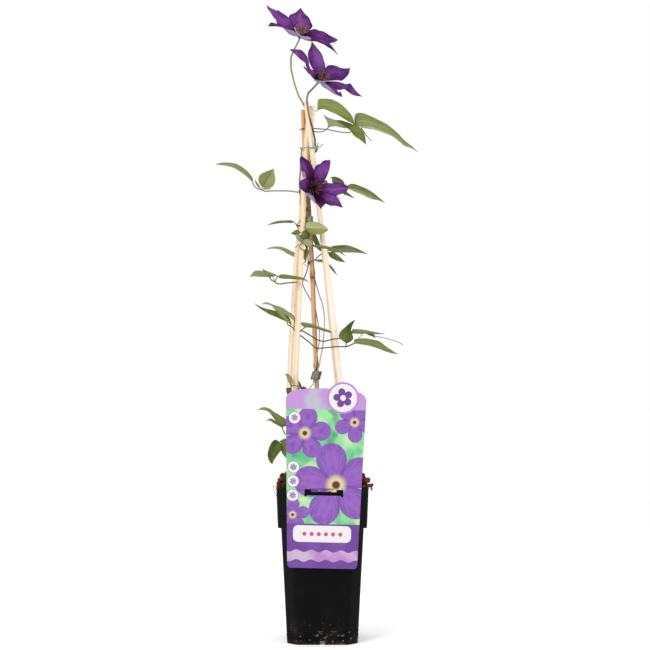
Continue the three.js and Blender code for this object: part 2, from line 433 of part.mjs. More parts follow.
const LEAVES = {
  tall: [
    { name: "right_top_leaf", base: [38.5, 619.5], tip: [-6, 637],
      one: [[37.5, 625], [35.5, 630], [30.5, 636], [22, 644], [13, 649], [3, 650.5], [-5, 649.5],
        [-6, 644.5]],
      two: [[33.5, 622], [28.5, 624.5], [18.5, 630.5], [10, 634.5], [1, 638]],
      depth: [-15, -20, -8], lean: [-7, -1, 3], wave: 1 },
    { name: "right_end_leaf", base: [39, 617], tip: [114.5, 586],
      one: [[38.5, 629], [40.5, 632.5], [46, 633.5], [54.5, 631], [65, 626], [77, 620], [90.5, 609],
        [99, 600], [108, 593]],
      two: [[44, 617], [51, 615], [61.5, 613.5], [73.5, 609.5], [83.5, 605.5], [90.5, 600.5],
        [99, 593.5], [108, 590.5]],
      depth: [-15, -20, -32], lean: [7, 0, -4], wave: 1.2 },
    { name: "right_front_leaf", base: [35, 611], tip: [52.5, 595],
      one: [[30.5, 621.5], [37, 619.5], [44, 616.5], [48.5, 613], [51, 607]],
      two: [[36, 608.5], [38, 606], [46, 600.5]],
      depth: [-15.4, -24, -34], lean: [3, 0, -2], wave: 0.7 },
    { name: "right_front_lobe", base: [34.5, 611.5], tip: [15.5, 624.5],
      one: [[34.5, 620], [28.5, 622.5], [22, 624.5]],
      two: [[33, 612.5], [28.5, 616.5], [22, 621]],
      depth: [-15.4, -22, -28], lean: [-2, 0, 2], wave: 0.4 },
    { name: "right_under_leaf", base: [6, 615], tip: [1, 631],
      one: [[6.5, 619.5], [4.5, 625]],
      two: [[9, 616.5], [16.5, 617.5], [27, 615], [31, 615.5], [27, 621], [19.5, 624], [15, 625],
        [6.5, 628]],
      depth: [-10.2, -8, 4], lean: [-3, 0, 4], wave: 0.6 },
    { name: "left_end_leaf", base: [-83.5, 549.5], tip: [-129, 571.5],
      one: [[-84.5, 555.5], [-91, 563.5], [-104, 572], [-121, 573.5]],
      two: [[-89.5, 555], [-97, 561], [-108, 567.5], [-118.5, 570]],
      depth: [8, 18, 26], lean: [9, 0, -8], wave: 0.9 },
    { name: "left_heart_leaf", base: [-72.5, 543.5], tip: [-59, 566],
      one: [[-77, 551], [-76, 558], [-68.5, 562.5]],
      two: [[-61, 544], [-57, 552], [-58, 561]],
      depth: [5, 0, -5], lean: [-2, 0.6, -2], wave: 0.6 },
    { name: "left_thin_leaf", base: [-75, 542], tip: [-81.5, 553],
      one: [[-77.5, 544], [-80.5, 548.5]],
      two: [[-76, 546], [-79, 550]],
      depth: [5, 14, 26], lean: [-4, 0, 4], wave: 0.4 },
    { name: "left_strip_leaf", base: [-73, 542], tip: [-62, 542],
      one: [[-69, 543.5], [-65.5, 543.5]],
      two: [[-69, 541], [-65.5, 541]],
      depth: [5, -6, -20], lean: [-6, 0, 5], wave: 0.5 },
  ],
  middle: [
    { name: "front_pale_leaf", base: [-20.5, 493], tip: [7, 493],
      one: [[-19.5, 501], [-12.5, 502.5], [-3, 500.5], [4, 496]],
      two: [[-17.5, 490], [-11, 487], [-2.5, 487.5], [5, 490.5]],
      depth: [-10, -17, -22], lean: [4, -3, -3], wave: 0.8 },
    { name: "front_dark_leaf", base: [-19.5, 491], tip: [-23.5, 482],
      one: [[-23.5, 489.5], [-26, 485]],
      two: [[-14.5, 486.5], [-18.5, 481]],
      depth: [-10, -14, -24], lean: [-3, 0, 4], wave: 0.5 },
    { name: "front_small_tip", base: [-26.5, 489.5], tip: [-38, 488],
      one: [[-30, 493], [-34.5, 491]],
      two: [[-30, 486.5], [-34.5, 486.5]],
      depth: [-15, -22, -36], lean: [-2, 0, 3], wave: 0.4 },
    { name: "front_grey_leaf", base: [-24, 476.5], tip: [-33, 487.5],
      one: [[-23, 480], [-24.5, 484], [-27.5, 487], [-30.5, 487.5]],
      two: [[-27, 478], [-30.5, 481.5], [-32, 484]],
      depth: [-15, -19, -26], lean: [3, 0, -3], wave: 0.5 },
    { name: "front_low_leaf", base: [-24, 477.5], tip: [-12, 475.5],
      one: [[-22.5, 480.5], [-19, 481.5], [-14.5, 480]],
      two: [[-20.5, 474.5], [-17, 472.5], [-13.5, 473.5]],
      depth: [-15.2, -24, -30], lean: [-3, 0, 3], wave: 0.5 },
    { name: "front_side_leaf", base: [-13, 486], tip: [-0.5, 466],
      one: [[-9.5, 487.5], [-5, 480.5], [-2.5, 473.5], [-1, 469.5]],
      two: [[-12, 482], [-10.5, 477.5], [-6.5, 471.5], [-2.5, 467]],
      depth: [13, 15, 11], lean: [1.5, 0, -1.5], wave: 0.4 },
    { name: "right_long_leaf", base: [-14, 474], tip: [27.5, 461],
      one: [[-5.5, 474.5], [9, 472], [21, 467.5]],
      two: [[-5.5, 470.5], [8, 469.5], [20, 465.5]],
      depth: [-8, -24, -38], lean: [-5, 0, 5], wave: 0.6 },
    { name: "right_far_leaf", base: [5, 470], tip: [54, 463.5],
      one: [[12.5, 473], [20, 474], [29.5, 474], [38, 471.5], [47, 467.5]],
      two: [[11.5, 466], [27, 465.5], [42.5, 465]],
      depth: [6.4, 18, 32], lean: [8, 0, -6], wave: 0.9 },
    { name: "right_dark_leaf", base: [6.5, 465.5], tip: [27.5, 453.5],
      one: [[12.5, 466], [17, 463.5], [22.5, 458.5]],
      two: [[8.5, 460.5], [14, 457], [21, 454.5]],
      depth: [6.2, 10, 20], lean: [-3, 0, 4], wave: 0.6 },
    { name: "right_strip_leaf", base: [-10, 456], tip: [17.5, 437.5],
      one: [[-5.5, 457], [0, 456.5], [8.5, 451], [14, 445]],
      two: [[-5.5, 454], [0, 453.5], [8, 448], [13, 442]],
      depth: [-2.6, 7.4, 4], lean: [-1, 0, 1], wave: 0.4 },
    { name: "cane_leaf", base: [-19.5, 470.5], tip: [-20.5, 452.5],
      one: [[-22.5, 467.5], [-23, 461]],
      two: [[-18.5, 466.5], [-19, 458.5]],
      depth: [0.2, -3, -3], lean: [-0.6, 0, -0.6], wave: 0.3 },
    { name: "behind_long_leaf", base: [27.5, 544], tip: [75.5, 525],
      one: [[34.5, 548], [47.5, 544.5], [58.5, 539], [68, 531.5]],
      two: [[35.5, 540], [47.5, 535], [58.5, 530], [68, 528]],
      depth: [11, 20, 30], lean: [5, 0, -4], wave: 0.8 },
    { name: "behind_curl_leaf", base: [24.5, 546], tip: [9.5, 556],
      one: [[26.5, 548.5], [22.5, 553.5], [15, 556.5]],
      two: [[20, 545.5], [12, 549.5], [11.5, 554]],
      depth: [10, 6, 2], lean: [3, 0, -3], wave: 0.5 },
    { name: "behind_low_leaf", base: [22.5, 544], tip: [38.5, 530.5],
      one: [[27, 540], [33, 535.5]],
      two: [[24.5, 536.5], [30.5, 533.5]],
      depth: [10, 14, 22], lean: [-4, 0, 4], wave: 0.4 },
    { name: "behind_small_leaf", base: [1, 547], tip: [6, 551],
      one: [[1, 550], [2, 552], [4, 552.5]],
      two: [[3.5, 547], [6, 548.5]],
      depth: [5, -1, -3], lean: [-1, 0, 1], wave: 0.3 },
  ],
  low: [
    { name: "left_thin_upper_leaf", base: [-34, 502], tip: [-66.5, 498],
      one: [[-37.5, 504], [-43.5, 504], [-52.5, 503.5], [-60, 501.5]],
      two: [[-36.5, 501], [-43.5, 501], [-52.5, 500.5], [-59, 499.5]],
      depth: [-5, -14, -20], lean: [-5, 0, 5], wave: 0.4 },
    { name: "left_slim_leaf", base: [-30.5, 460.5], tip: [-67.5, 469.5],
      one: [[-33.5, 465], [-37.5, 467], [-43.5, 470], [-49.5, 472], [-56, 472.5], [-63, 471.5]],
      two: [[-34.5, 460], [-36.5, 461], [-42.5, 464], [-49, 468], [-54, 469.5], [-61, 470]],
      depth: [22, 27, 34], lean: [4, 0, -3], wave: 0.5 },
    { name: "left_near_leaf", base: [-64, 436], tip: [-88, 436],
      one: [[-68, 440.5], [-72.5, 443], [-75.5, 443.5], [-79, 443.5], [-82.5, 442.5], [-85.5, 439]],
      two: [[-69, 436], [-74.5, 436], [-80, 436.5], [-85, 436.5]],
      depth: [-19, -27, -36], lean: [7, 0, -4], wave: 0.8 },
    { name: "left_dark_leaf", base: [-54.5, 437.5], tip: [-72.5, 445.5],
      one: [[-57, 439], [-60.5, 440.5], [-67, 443]],
      two: [[-59.5, 436.5], [-65, 436], [-69, 436], [-70.5, 441]],
      depth: [-19, -14, -6], lean: [3, 0, -3], wave: 0.5 },
    { name: "left_inner_leaf", base: [-55, 436], tip: [-16, 430],
      one: [[-49.5, 439], [-42.5, 438.5], [-36.5, 437.5], [-30, 436.5], [-23, 434.5]],
      two: [[-49.5, 434], [-41, 433.5], [-32, 433], [-24.5, 432.5]],
      depth: [-19, -27, -22], lean: [3, 0, -3], wave: 0.7 },
    { name: "left_long_leaf", base: [-38, 381], tip: [-82, 404],
      one: [[-40, 387], [-46.5, 391.5], [-54, 394.5], [-62.5, 396.5], [-72, 399]],
      two: [[-43, 382], [-50, 385], [-57, 388], [-64, 391], [-70, 394.5], [-75.5, 398]],
      depth: [-17.4, -20, -36], lean: [3, 0, -2], wave: 0.8 },
    { name: "left_curled_leaf", base: [-33.5, 381.5], tip: [-73.5, 403],
      one: [[-33, 387], [-37, 391.5], [-42, 394.5], [-47, 398], [-54, 401], [-61, 403], [-68, 405.5]],
      two: [[-35, 383.5], [-39, 387], [-44, 390], [-50, 394], [-59, 400], [-67, 403]],
      depth: [-13, -26, -30], lean: [3, 0, -2], wave: 0.8 },
    { name: "left_curled_half", base: [-37.5, 379], tip: [-61.5, 402],
      one: [[-37.5, 381.5], [-40.5, 384], [-44, 388], [-47, 392], [-50, 394.5], [-54, 398], [-58, 401]],
      two: [[-39.5, 379.5], [-42.5, 382], [-47.5, 386], [-52, 390], [-56, 395], [-59, 398.5]],
      depth: [-19, -28.5, -29], lean: [-1.5, 0, 1.5], wave: 0.4 },
    { name: "middle_leaf", base: [-22.5, 376.5], tip: [12, 368.5],
      one: [[-25.5, 378], [-25.5, 381], [-17.5, 380.5], [-9, 378], [0, 374.5], [8.5, 371.5]],
      two: [[-17.5, 375], [-12.5, 374.5], [-5.5, 373], [3.5, 370]],
      depth: [-12, -20, -26], lean: [3, 0, -3], wave: 0.8 },
    { name: "right_heart_leaf", base: [28.5, 356], tip: [39, 384],
      one: [[25, 358.5], [21, 361.5], [19.5, 365], [22, 370.5], [27.5, 375.5], [33.5, 381]],
      two: [[33, 357.5], [37, 361.5], [36, 366.5], [34.5, 371.5], [36, 377.5]],
      depth: [-14.6, -12, -10], lean: [-3, 2, -3], wave: 0.7 },
    { name: "right_grey_leaf", base: [34.5, 368], tip: [75, 367.5],
      one: [[36, 372.5], [42.5, 373], [51.5, 372], [61, 370], [68.5, 368.5]],
      two: [[41, 367.5], [47.5, 367.5], [56, 367.5], [64.5, 367]],
      depth: [-12, -2, 6], lean: [3, 0, -3], wave: 0.7 },
    { name: "right_grey_tooth", base: [50, 369], tip: [64, 362],
      one: [[56, 369], [62, 366.5]],
      two: [[55, 366], [60.5, 364]],
      depth: [-3.6, 0, 3], lean: [-1, 0, 1], wave: 0.3 },
    { name: "right_end_leaf_low", base: [38, 356], tip: [90.5, 343],
      one: [[38.5, 360.5], [43.5, 361.5], [49.5, 362], [60, 360.5], [69, 358], [76, 352.5], [83, 348]],
      two: [[44, 355], [56.5, 353], [67.5, 349.5], [78, 345.5], [84, 344]],
      depth: [-18, -26, -38], lean: [6, 0, -5], wave: 1 },
    { name: "low_left_tip", base: [-38, 303.5], tip: [-45, 319],
      one: [[-36, 308], [-36, 313], [-38, 316], [-41, 319]],
      two: [[-39.5, 306.5], [-42, 311.5], [-43.5, 316]],
      depth: [-24, -28, -33], lean: [-2, 0, 2], wave: 0.4 },
    { name: "low_left_second", base: [-37.5, 302], tip: [-42.5, 294.5],
      one: [[-40.5, 302.5], [-43.5, 302], [-43.5, 298]],
      two: [[-37, 299], [-39, 296]],
      depth: [-24.4, -26, -29], lean: [-2, 0, 2], wave: 0.3 },
    { name: "low_middle_tip", base: [-24.5, 301], tip: [-29, 311],
      one: [[-25, 304], [-26.5, 307.5]],
      two: [[-27.5, 302], [-28.5, 306]],
      depth: [-12, -12, -14], lean: [-1, 0, 1], wave: 0.3 },
    { name: "low_middle_strip", base: [-25.5, 301], tip: [-18.5, 301],
      one: [[-23.5, 304], [-20.5, 303]],
      two: [[-23.5, 300], [-20.5, 300]],
      depth: [-12, -12, -13], lean: [-1, 0, 1], wave: 0.3 },
    { name: "low_upper_leaf", base: [-49, 255], tip: [-78, 276],
      one: [[-41, 258], [-43, 263.5], [-51, 269], [-58.5, 273.5], [-64.5, 277.5], [-71.5, 279]],
      two: [[-55, 260.5], [-58.5, 265.5], [-61.5, 269.5], [-64.5, 273], [-70, 275.5]],
      depth: [-31, -36, -48], lean: [7, 0, -7], wave: 0.9 },
    { name: "low_curled_leaf", base: [-47.5, 254], tip: [-68, 262.5],
      one: [[-49, 258], [-56, 262], [-62.5, 265.5]],
      two: [[-52.5, 256.5], [-59.5, 260.5], [-64, 263]],
      depth: [-31, -24, -14], lean: [3, 0, -3], wave: 0.5 },
    { name: "low_heart_leaf", base: [-52, 237], tip: [-60.5, 210.5],
      one: [[-56.5, 240], [-61, 237], [-64.5, 230], [-66, 221.5], [-64, 214]],
      two: [[-49.5, 233.5], [-49.5, 228], [-53, 223], [-58, 216]],
      depth: [-32, -38, -40], lean: [-3, 1, -2], wave: 0.8 },
    { name: "low_under_leaf", base: [-50.5, 237], tip: [-40, 214],
      one: [[-50.5, 231], [-49, 224.5], [-44.5, 218.5]],
      two: [[-47, 241], [-41.5, 239.5], [-37.5, 232.5], [-37, 222.5]],
      depth: [-32, -37, -38], lean: [2, 0, -2], wave: 0.6 },
  ],
};

// The foot of a leaf: a short stalk from the nearest place on the stem's stalks into the blade's rib.
const FOOT_RADIUS = 0.6;
const FOOT_REACH = 0.12;
const FOOT_STEP = 8;
const PLACES_A_STALK = 60;

function makeFoot(blade, curves) {
  const edges = [edgeCurve(blade.base, blade.one, blade.tip), edgeCurve(blade.base, blade.two, blade.tip)];
  const base = bladePoint(blade, edges, 0, 0);
  const places = curves.flatMap((curve) => curve.getSpacedPoints(PLACES_A_STALK));
  const start = places.reduce((near, p) => (p.distanceTo(base) < near.distanceTo(base) ? p : near));
  const ribs = [FOOT_REACH / 2, FOOT_REACH].map((t) => bladePoint(blade, edges, t, 0));
  const points = start.distanceTo(base) > FOOT_RADIUS ? [start, base, ...ribs] : [start, ...ribs];
  const curve = new THREE.CatmullRomCurve3(points, false, "centripetal");
  return tube(curve, FOOT_RADIUS, SLIM_STALK.sides, FOOT_STEP);
}

function makeLeafyStem(name) {
  const curves = ROUTES[name].map(({ route }) => routeThrough(route));
  const stalks = ROUTES[name].map(({ radius }, i) => {
    const { sides, step } = radius > SLIM_STALK.radius ? STOUT_STALK : SLIM_STALK;
    return tube(curves[i], radius, sides, step);
  });
  const leaves = LEAVES[name].map((leaf) => makeBlade(leaf, SLIM_BLADE));
  const feet = LEAVES[name].map((leaf) => makeFoot(leaf, curves));
  return withoutScraps(join([...stalks, ...leaves, ...feet]));
}

// ---- blooms -------------------------------------------------------------------------------------
const BLOOMS = {
  bloom_top: {
    core: [-26.5, 725.5, 1], heart: [-25, 734, -5], spread: 0.6,
    tepals: [
      { name: "up_left", base: [-27, 726], tip: [-67.5, 763.5],
        one: [[-34, 737.5], [-41, 748.5], [-46.5, 752.5], [-50.5, 755], [-53, 757], [-55.5, 756.5],
          [-58, 758], [-62, 759.5]],
        two: [[-34.5, 734], [-44, 736], [-54.5, 740.5], [-55.5, 743.5], [-56.5, 746], [-58.5, 748],
          [-60, 750], [-62, 753.5], [-65.5, 758]],
        depth: [1, 10, 18], lean: [4, 0, -3], wave: 0.8 },
      { name: "left", base: [-27, 725.5], tip: [-65.5, 737.5],
        one: [[-34.5, 734.5], [-46.5, 738.5], [-56, 741], [-62.5, 742]],
        two: [[-32, 725.5], [-39, 727.5], [-44.5, 732.5], [-47.5, 735.5], [-55, 737.5], [-61, 737.5]],
        depth: [0, -9, -17], lean: [4, 0, -5], wave: 0.6 },
      { name: "top", base: [-26, 726], tip: [-26.5, 760],
        one: [[-33.5, 735.5], [-40.5, 749], [-39.5, 751], [-37, 752.5], [-33, 754], [-29.5, 757]],
        two: [[-17, 732], [-12, 737.5], [-13.5, 742], [-15, 745.5], [-17, 749], [-21, 752.5], [-23.5, 756]],
        depth: [2, 15, 25], lean: [0, 3, 0], wave: 0.7 },
      { name: "right", base: [-25.5, 725.5], tip: [18.5, 721.5],
        one: [[-18.5, 731.5], [-12, 734], [-9, 734.5], [-4, 732.5], [1, 731.5], [9, 726.5], [15, 723.5]],
        two: [[-18, 723], [-8, 720], [4, 717], [8.5, 717], [10, 717.5], [13, 718], [16.5, 719.5]],
        depth: [1, 4, 8], lean: [3, 0, -3], wave: 0.8 },
      { name: "front_right", base: [-25.5, 724.5], tip: [18.5, 703.5],
        one: [[-14, 724.5], [-3, 722.5], [8.5, 717], [10, 715.5], [12, 713], [14.5, 709.5]],
        two: [[-20, 721], [-12.5, 720], [-8, 719.5], [-3, 717.5], [2, 715.5], [6.5, 712.5],
          [11.5, 709.5], [15, 706.5]],
        depth: [0, -16, -26], lean: [4, 0, -5], wave: 0.7 },
      { name: "back", base: [-26, 726], tip: [-19.5, 749],
        one: [[-28.5, 733], [-26, 743]],
        two: [[-18, 734.5], [-15.5, 743]],
        depth: [2, 22, 38], lean: [0, 2, 0], wave: 0.7, slim: true },
      { name: "front_fold", base: [-33.5, 736.5], tip: [-10, 719.5],
        one: [[-31, 732], [-28, 728], [-23, 726], [-17.5, 725.5], [-14, 723.5]],
        two: [[-32.5, 732], [-29.5, 727.5], [-26, 723.5], [-21, 721], [-14, 719.5]],
        depth: [-1.2, -4.6, -10], lean: [0.6, -0.6, 0.6], wave: 0.2, slim: true },
    ],
  },
  bloom_right: {
    core: [-4, 672, -6], heart: [1, 679, -12], spread: 0.6,
    tepals: [
      { name: "up", base: [-4, 672.5], tip: [-13, 719.5],
        one: [[-9.5, 682.5], [-13, 688], [-14.5, 691], [-16, 695], [-17.5, 700.5], [-17.5, 706.5],
          [-14.5, 713]],
        two: [[3.5, 686.5], [3, 692], [1.5, 697], [-1, 704.5], [-8, 713.5]],
        depth: [-5, 4, 12], lean: [0, 2, 0], wave: 0.8 },
      { name: "up_left", base: [-4.5, 673], tip: [-40, 710],
        one: [[-13, 685], [-16, 690], [-16.5, 695], [-19, 702], [-25.5, 709], [-33, 710]],
        two: [[-15, 682.5], [-20, 690], [-20.5, 693], [-27, 698], [-30, 701], [-36.5, 707]],
        depth: [-6, -8, -5], lean: [3, 0, -3], wave: 0.7 },
      { name: "left_small", base: [-5, 672], tip: [-22.5, 690],
        one: [[-8, 682.5], [-15, 686.5], [-19.5, 687.5]],
        two: [[-9.5, 674], [-13.5, 678], [-17.5, 681.5], [-20.5, 685.5], [-22.5, 688]],
        depth: [-6.3, -20, -38], lean: [4, 0, -3], wave: 0.5, slim: true },
      { name: "right", base: [-3.5, 672], tip: [33, 687.5],
        one: [[4.5, 688.5], [6.5, 690.5], [11.5, 691], [16.5, 690], [21, 688], [27, 687]],
        two: [[6.5, 672], [19.5, 672.5], [22.5, 672], [25.5, 673.5], [28.5, 676.5], [31.5, 680],
          [32.5, 684]],
        depth: [-6, 3, 9], lean: [0, 3, -1], wave: 0.8 },
      { name: "right_low", base: [-3.5, 671.5], tip: [48, 653],
        one: [[9, 671.5], [18.5, 671], [23.5, 669.5], [28.5, 668], [33, 669], [35.5, 666.5], [38, 663],
          [41.5, 658.5]],
        two: [[9, 666], [17.5, 661.5], [21, 661], [26, 662], [30.5, 659], [36.5, 655]],
        depth: [-6.3, -15, -24], lean: [2, 0, -4], wave: 0.8 },
      { name: "low", base: [-4, 671], tip: [24, 652.5],
        one: [[5.5, 669], [12.5, 664], [17, 662], [19, 658.5], [22, 658.5]],
        two: [[-0.5, 665.5], [6.5, 661], [14, 656], [19.5, 654]],
        depth: [-6.6, -23, -40], lean: [5, 0, -4], wave: 0.6 },
      { name: "front_fold", base: [-13, 678.5], tip: [4, 670.5],
        one: [[-10, 675], [-6.5, 673.5], [-2.5, 672.5]],
        two: [[-10.5, 673.5], [-6.5, 670], [-1.5, 668.5]],
        depth: [-7.4, -9.6, -10], lean: [0.6, -0.6, 0.6], wave: 0.2, slim: true },
    ],
  },
  bloom_front: {
    core: [-12, 542, -17], heart: [-10, 543, -26], spread: 0.6,
    tepals: [
      { name: "up_left", base: [-12, 542.5], tip: [-26, 581.5],
        one: [[-18.5, 552.5], [-23, 555.5], [-24.5, 560.5], [-25.5, 564.5], [-26.5, 570.5], [-27.5, 578]],
        two: [[-10, 556], [-10.5, 565.5], [-11.5, 567], [-12.5, 570], [-14.5, 573], [-16.5, 576],
          [-20, 578], [-23.5, 580.5]],
        depth: [-17.3, -22, -27], lean: [-2, 1.5, 0], wave: 0.7 },
      { name: "up_right", base: [-11.5, 542.5], tip: [9, 577],
        one: [[-10.5, 556], [-10, 565.5], [-8, 569.5], [-5.5, 571.5], [-3, 572], [0, 575], [3, 576.5],
          [6.5, 576.5]],
        two: [[-4, 544], [0.5, 548.5], [3, 553], [4.5, 555.5], [6.5, 560], [8, 564.5], [9, 569.5],
          [9.5, 574]],
        depth: [-17.3, -20, -20], lean: [0, 2, 0], wave: 0.8 },
      { name: "left", base: [-12.5, 541.5], tip: [-28.5, 548.5],
        one: [[-15.5, 552], [-20, 554], [-23.5, 553.5], [-26.5, 552]],
        two: [[-13.5, 538.5], [-16.5, 537], [-21.5, 538], [-24.5, 540.5], [-27, 543.5], [-28.5, 547]],
        depth: [-17.3, -29, -46], lean: [-2, 1, -2], wave: 0.5 },
      { name: "right", base: [-11, 541.5], tip: [31.5, 543],
        one: [[-6, 546], [0.5, 548], [8, 549], [11, 548.5], [15, 549.5], [21, 549], [26.5, 547.5],
          [30, 545.5]],
        two: [[0.5, 537], [11.5, 533.5], [16.5, 533.5], [20, 535], [23.5, 536], [28, 537], [29.5, 539.5]],
        depth: [-17.3, -20, -20], lean: [0, 2.5, -1], wave: 0.8 },
      { name: "low_right", base: [-11.5, 541], tip: [24.5, 519.5],
        one: [[4, 537.5], [15, 534], [19, 530], [21.5, 526], [23, 522.5]],
        two: [[-3, 529], [4, 524], [6.5, 523], [10, 521.5], [16.5, 521.5], [21, 520]],
        depth: [-17.3, -25, -32], lean: [0, 2, 0], wave: 0.7 },
      { name: "low", base: [-12, 541], tip: [-2, 518],
        one: [[-15, 538.5], [-16, 535.5], [-12, 529.5], [-8.5, 526], [-6, 523], [-3.5, 520]],
        two: [[-1, 533], [4, 525.5], [3.5, 524], [1, 521.5]],
        depth: [-17.3, -29, -44], lean: [0, 2.5, 0], wave: 0.6 },
      { name: "low_fold", base: [-15.5, 540], tip: [-7.5, 523],
        one: [[-21.5, 538.5], [-20.5, 536], [-16.5, 532], [-13.5, 528.5], [-10, 525]],
        two: [[-14, 536.5], [-11, 533], [-9, 528.5]],
        depth: [-18.4, -29, -37], lean: [0.4, -0.8, 0.8], wave: 0.2, slim: true },
    ],
  },
};

const CORE_RADIUS = 2.6;
const CORE_HEIGHT = 1.8;
const HEART_RADIUS = 1.4;
const STAMENS = 16;
const STAMEN_LENGTH = 12.5;
const STAMEN_RADIUS = 0.62;
const GOLDEN_TURN = Math.PI * (3 - Math.sqrt(5));

function aimOf({ core, heart }) {
  const place = sight(...core);
  const aim = sight(...heart).sub(place).normalize();
  return { place, aim, turn: new THREE.Quaternion().setFromUnitVectors(new THREE.Vector3(0, 0, 1), aim) };
}

function makePetals(bloom) {
  const { place, turn } = aimOf(bloom);
  const core = new THREE.SphereGeometry(CORE_RADIUS, 8, 5).rotateX(Math.PI / 2);
  core.scale(1, 1, CORE_HEIGHT / CORE_RADIUS).applyQuaternion(turn).translate(place.x, place.y, place.z);
  const tepals = bloom.tepals.map((tepal) => makeBlade(tepal, tepal.slim ? SLIM_BLADE : BROAD_BLADE));
  return join([solidOf(core), ...tepals]);
}

function makeStamens(bloom) {
  const { place, turn } = aimOf(bloom);
  const seat = CORE_HEIGHT + GAP;
  const parts = [new THREE.SphereGeometry(HEART_RADIUS, 7, 5).rotateX(Math.PI / 2)
    .translate(0, 0, seat + HEART_RADIUS)];
  for (let i = 0; i < STAMENS; i += 1) {
    const spread = bloom.spread * Math.sqrt((i + 0.5) / STAMENS);
    const length = STAMEN_LENGTH * (1.1 - 0.25 * Math.sqrt((i + 0.5) / STAMENS));
    const stamen = new THREE.ConeGeometry(STAMEN_RADIUS, length, 3).rotateX(-Math.PI / 2);
    stamen.translate(0, 0, -length / 2).rotateY(spread).rotateZ(i * GOLDEN_TURN);
    const tip = new THREE.Vector3(0, 0, length).applyAxisAngle(new THREE.Vector3(0, 1, 0), spread)
      .applyAxisAngle(new THREE.Vector3(0, 0, 1), i * GOLDEN_TURN);
    parts.push(stamen.translate(tip.x, tip.y, tip.z + seat + HEART_RADIUS));
  }
  return join(parts.map((part) => solidOf(part.applyQuaternion(turn).translate(place.x, place.y, place.z))));
}

// ---- ties and clips -----------------------------------------------------------------------------
const TIE_HEIGHT = 590.5;
const TIE_LOOP = [
  [-12.9, -10], [-9, -10], [-5.9, -9.2], [-4.7, -6.2], [-6.6, -1.6], [-11, 4.5], [-12.8, 9], [-16, 14.6],
  [-20, 17.2], [-24, 16.2], [-25.8, 12], [-26.2, 4], [-26.9, -3], [-26.6, -7], [-23.2, -9.2], [-18, -9.8]];
const TIE_ENDS = [
  [[-9, -10, 590.5], [-8.2, -11.2, 591.2], [-6, -11.2, 592.4], [-3, -11, 591.4], [0.5, -10.6, 595]],
  [[-9, -10, 590.5], [-8.6, -11.4, 589.2], [-7, -11.9, 589.4], [-6.4, -12, 592.4], [-5, -11.6, 596.5]],
];

function makeTie() {
  const loop = new THREE.CatmullRomCurve3(
    TIE_LOOP.map(([x, y]) => new THREE.Vector3(x, y, TIE_HEIGHT + 0.03 * (y + 10))), false, "centripetal");
  const close = new THREE.CatmullRomCurve3(
    [[-18, -9.6], [-15, -10.1], [-12, -10.1], [-9, -10]].map(
      ([x, y]) => new THREE.Vector3(x, y, TIE_HEIGHT)));
  const ends = TIE_ENDS.map((end) => new THREE.CatmullRomCurve3(end.map((p) => new THREE.Vector3(...p))));
  return join([
    tube(loop, WIRE_RADIUS, WIRE_SIDES, WIRE_STEP),
    tube(close, WIRE_RADIUS * 1.05, WIRE_SIDES, WIRE_STEP),
    ...ends.map((end) => tube(end, WIRE_RADIUS, SLIM_STALK.sides, WIRE_STEP * 0.6)),
  ]);
}

// A strip of soft tape wound round the cane, and round the stems beside it where it is wide enough.
const CLIP_WALL = 0.7;

function tapeOutline(path, wide, deep, corner) {
  path.absarc(wide - corner, deep - corner, corner, 0, Math.PI / 2, false);
  path.absarc(corner - wide, deep - corner, corner, Math.PI / 2, Math.PI, false);
  path.absarc(corner - wide, corner - deep, corner, Math.PI, 1.5 * Math.PI, false);
  path.absarc(wide - corner, corner - deep, corner, 1.5 * Math.PI, 2 * Math.PI, false);
  return path;
}

function makeClip({ x, y, z, wide, deep, corner, height, slant }) {
  const shape = tapeOutline(new THREE.Shape(), wide, deep, corner);
  shape.holes.push(tapeOutline(new THREE.Path(), wide - CLIP_WALL, deep - CLIP_WALL, corner - CLIP_WALL));
  const band = new THREE.ExtrudeGeometry(shape, { depth: height, bevelEnabled: false, curveSegments: 2 });
  band.translate(0, 0, -height / 2).applyMatrix4(new THREE.Matrix4().makeShear(0, 0, 0, 0, slant, 0));
  return solidOf(band.translate(x, y, z));
}

const CLIPS = {
  cane_clip_lower: { x: -7.8, y: -5.8, z: 317.4, wide: 5.5, deep: 6.3, corner: 2.8, height: 9.5, slant: 0.25 },
  cane_clip_upper: { x: -15.9, y: 9, z: 505.6, wide: 3.9, deep: 4.4, corner: 3.2, height: 7.5, slant: -0.07 },
};

// ---- plant label --------------------------------------------------------------------------------
const LABEL_THICKNESS = 0.8;
const LABEL_HEIGHT = 211;
const LABEL_BACK = -(RIM_HALF + GAP);
const LABEL_FOOT = 92.5;
const LABEL_MIDDLE = -0.5;
const LABEL_LEAN = 0.0245;
const BADGE = { across: 19.8, up: 200.4, radius: 18.5 };
const SLOT = { half: 22.9, end: 8.2, leg: 2.7, low: 83.6, bar: 85.2, top: 89.6, high: 92.6 };
const HOOK_GAP = 1;
const TAB = { width: 26, rise: 1.2, depth: 14, thickness: 0.8 };

function slotPath() {
  const { half, end, leg, low, bar, top, high } = SLOT;
  const right = [[half, low], [half, high], [half - end, high], [half - end, top]];
  const left = [[end - half, top], [end - half, high], [-half, high], [-half, low]];
  const under = [[leg - half, low], [leg - half, bar], [half - leg, bar], [half - leg, low]];
  const hole = new THREE.Path();
  [...right, ...left, ...under].forEach(([x, y], i) => (i === 0 ? hole.moveTo(x, y) : hole.lineTo(x, y)));
  hole.closePath();
  return hole;
}

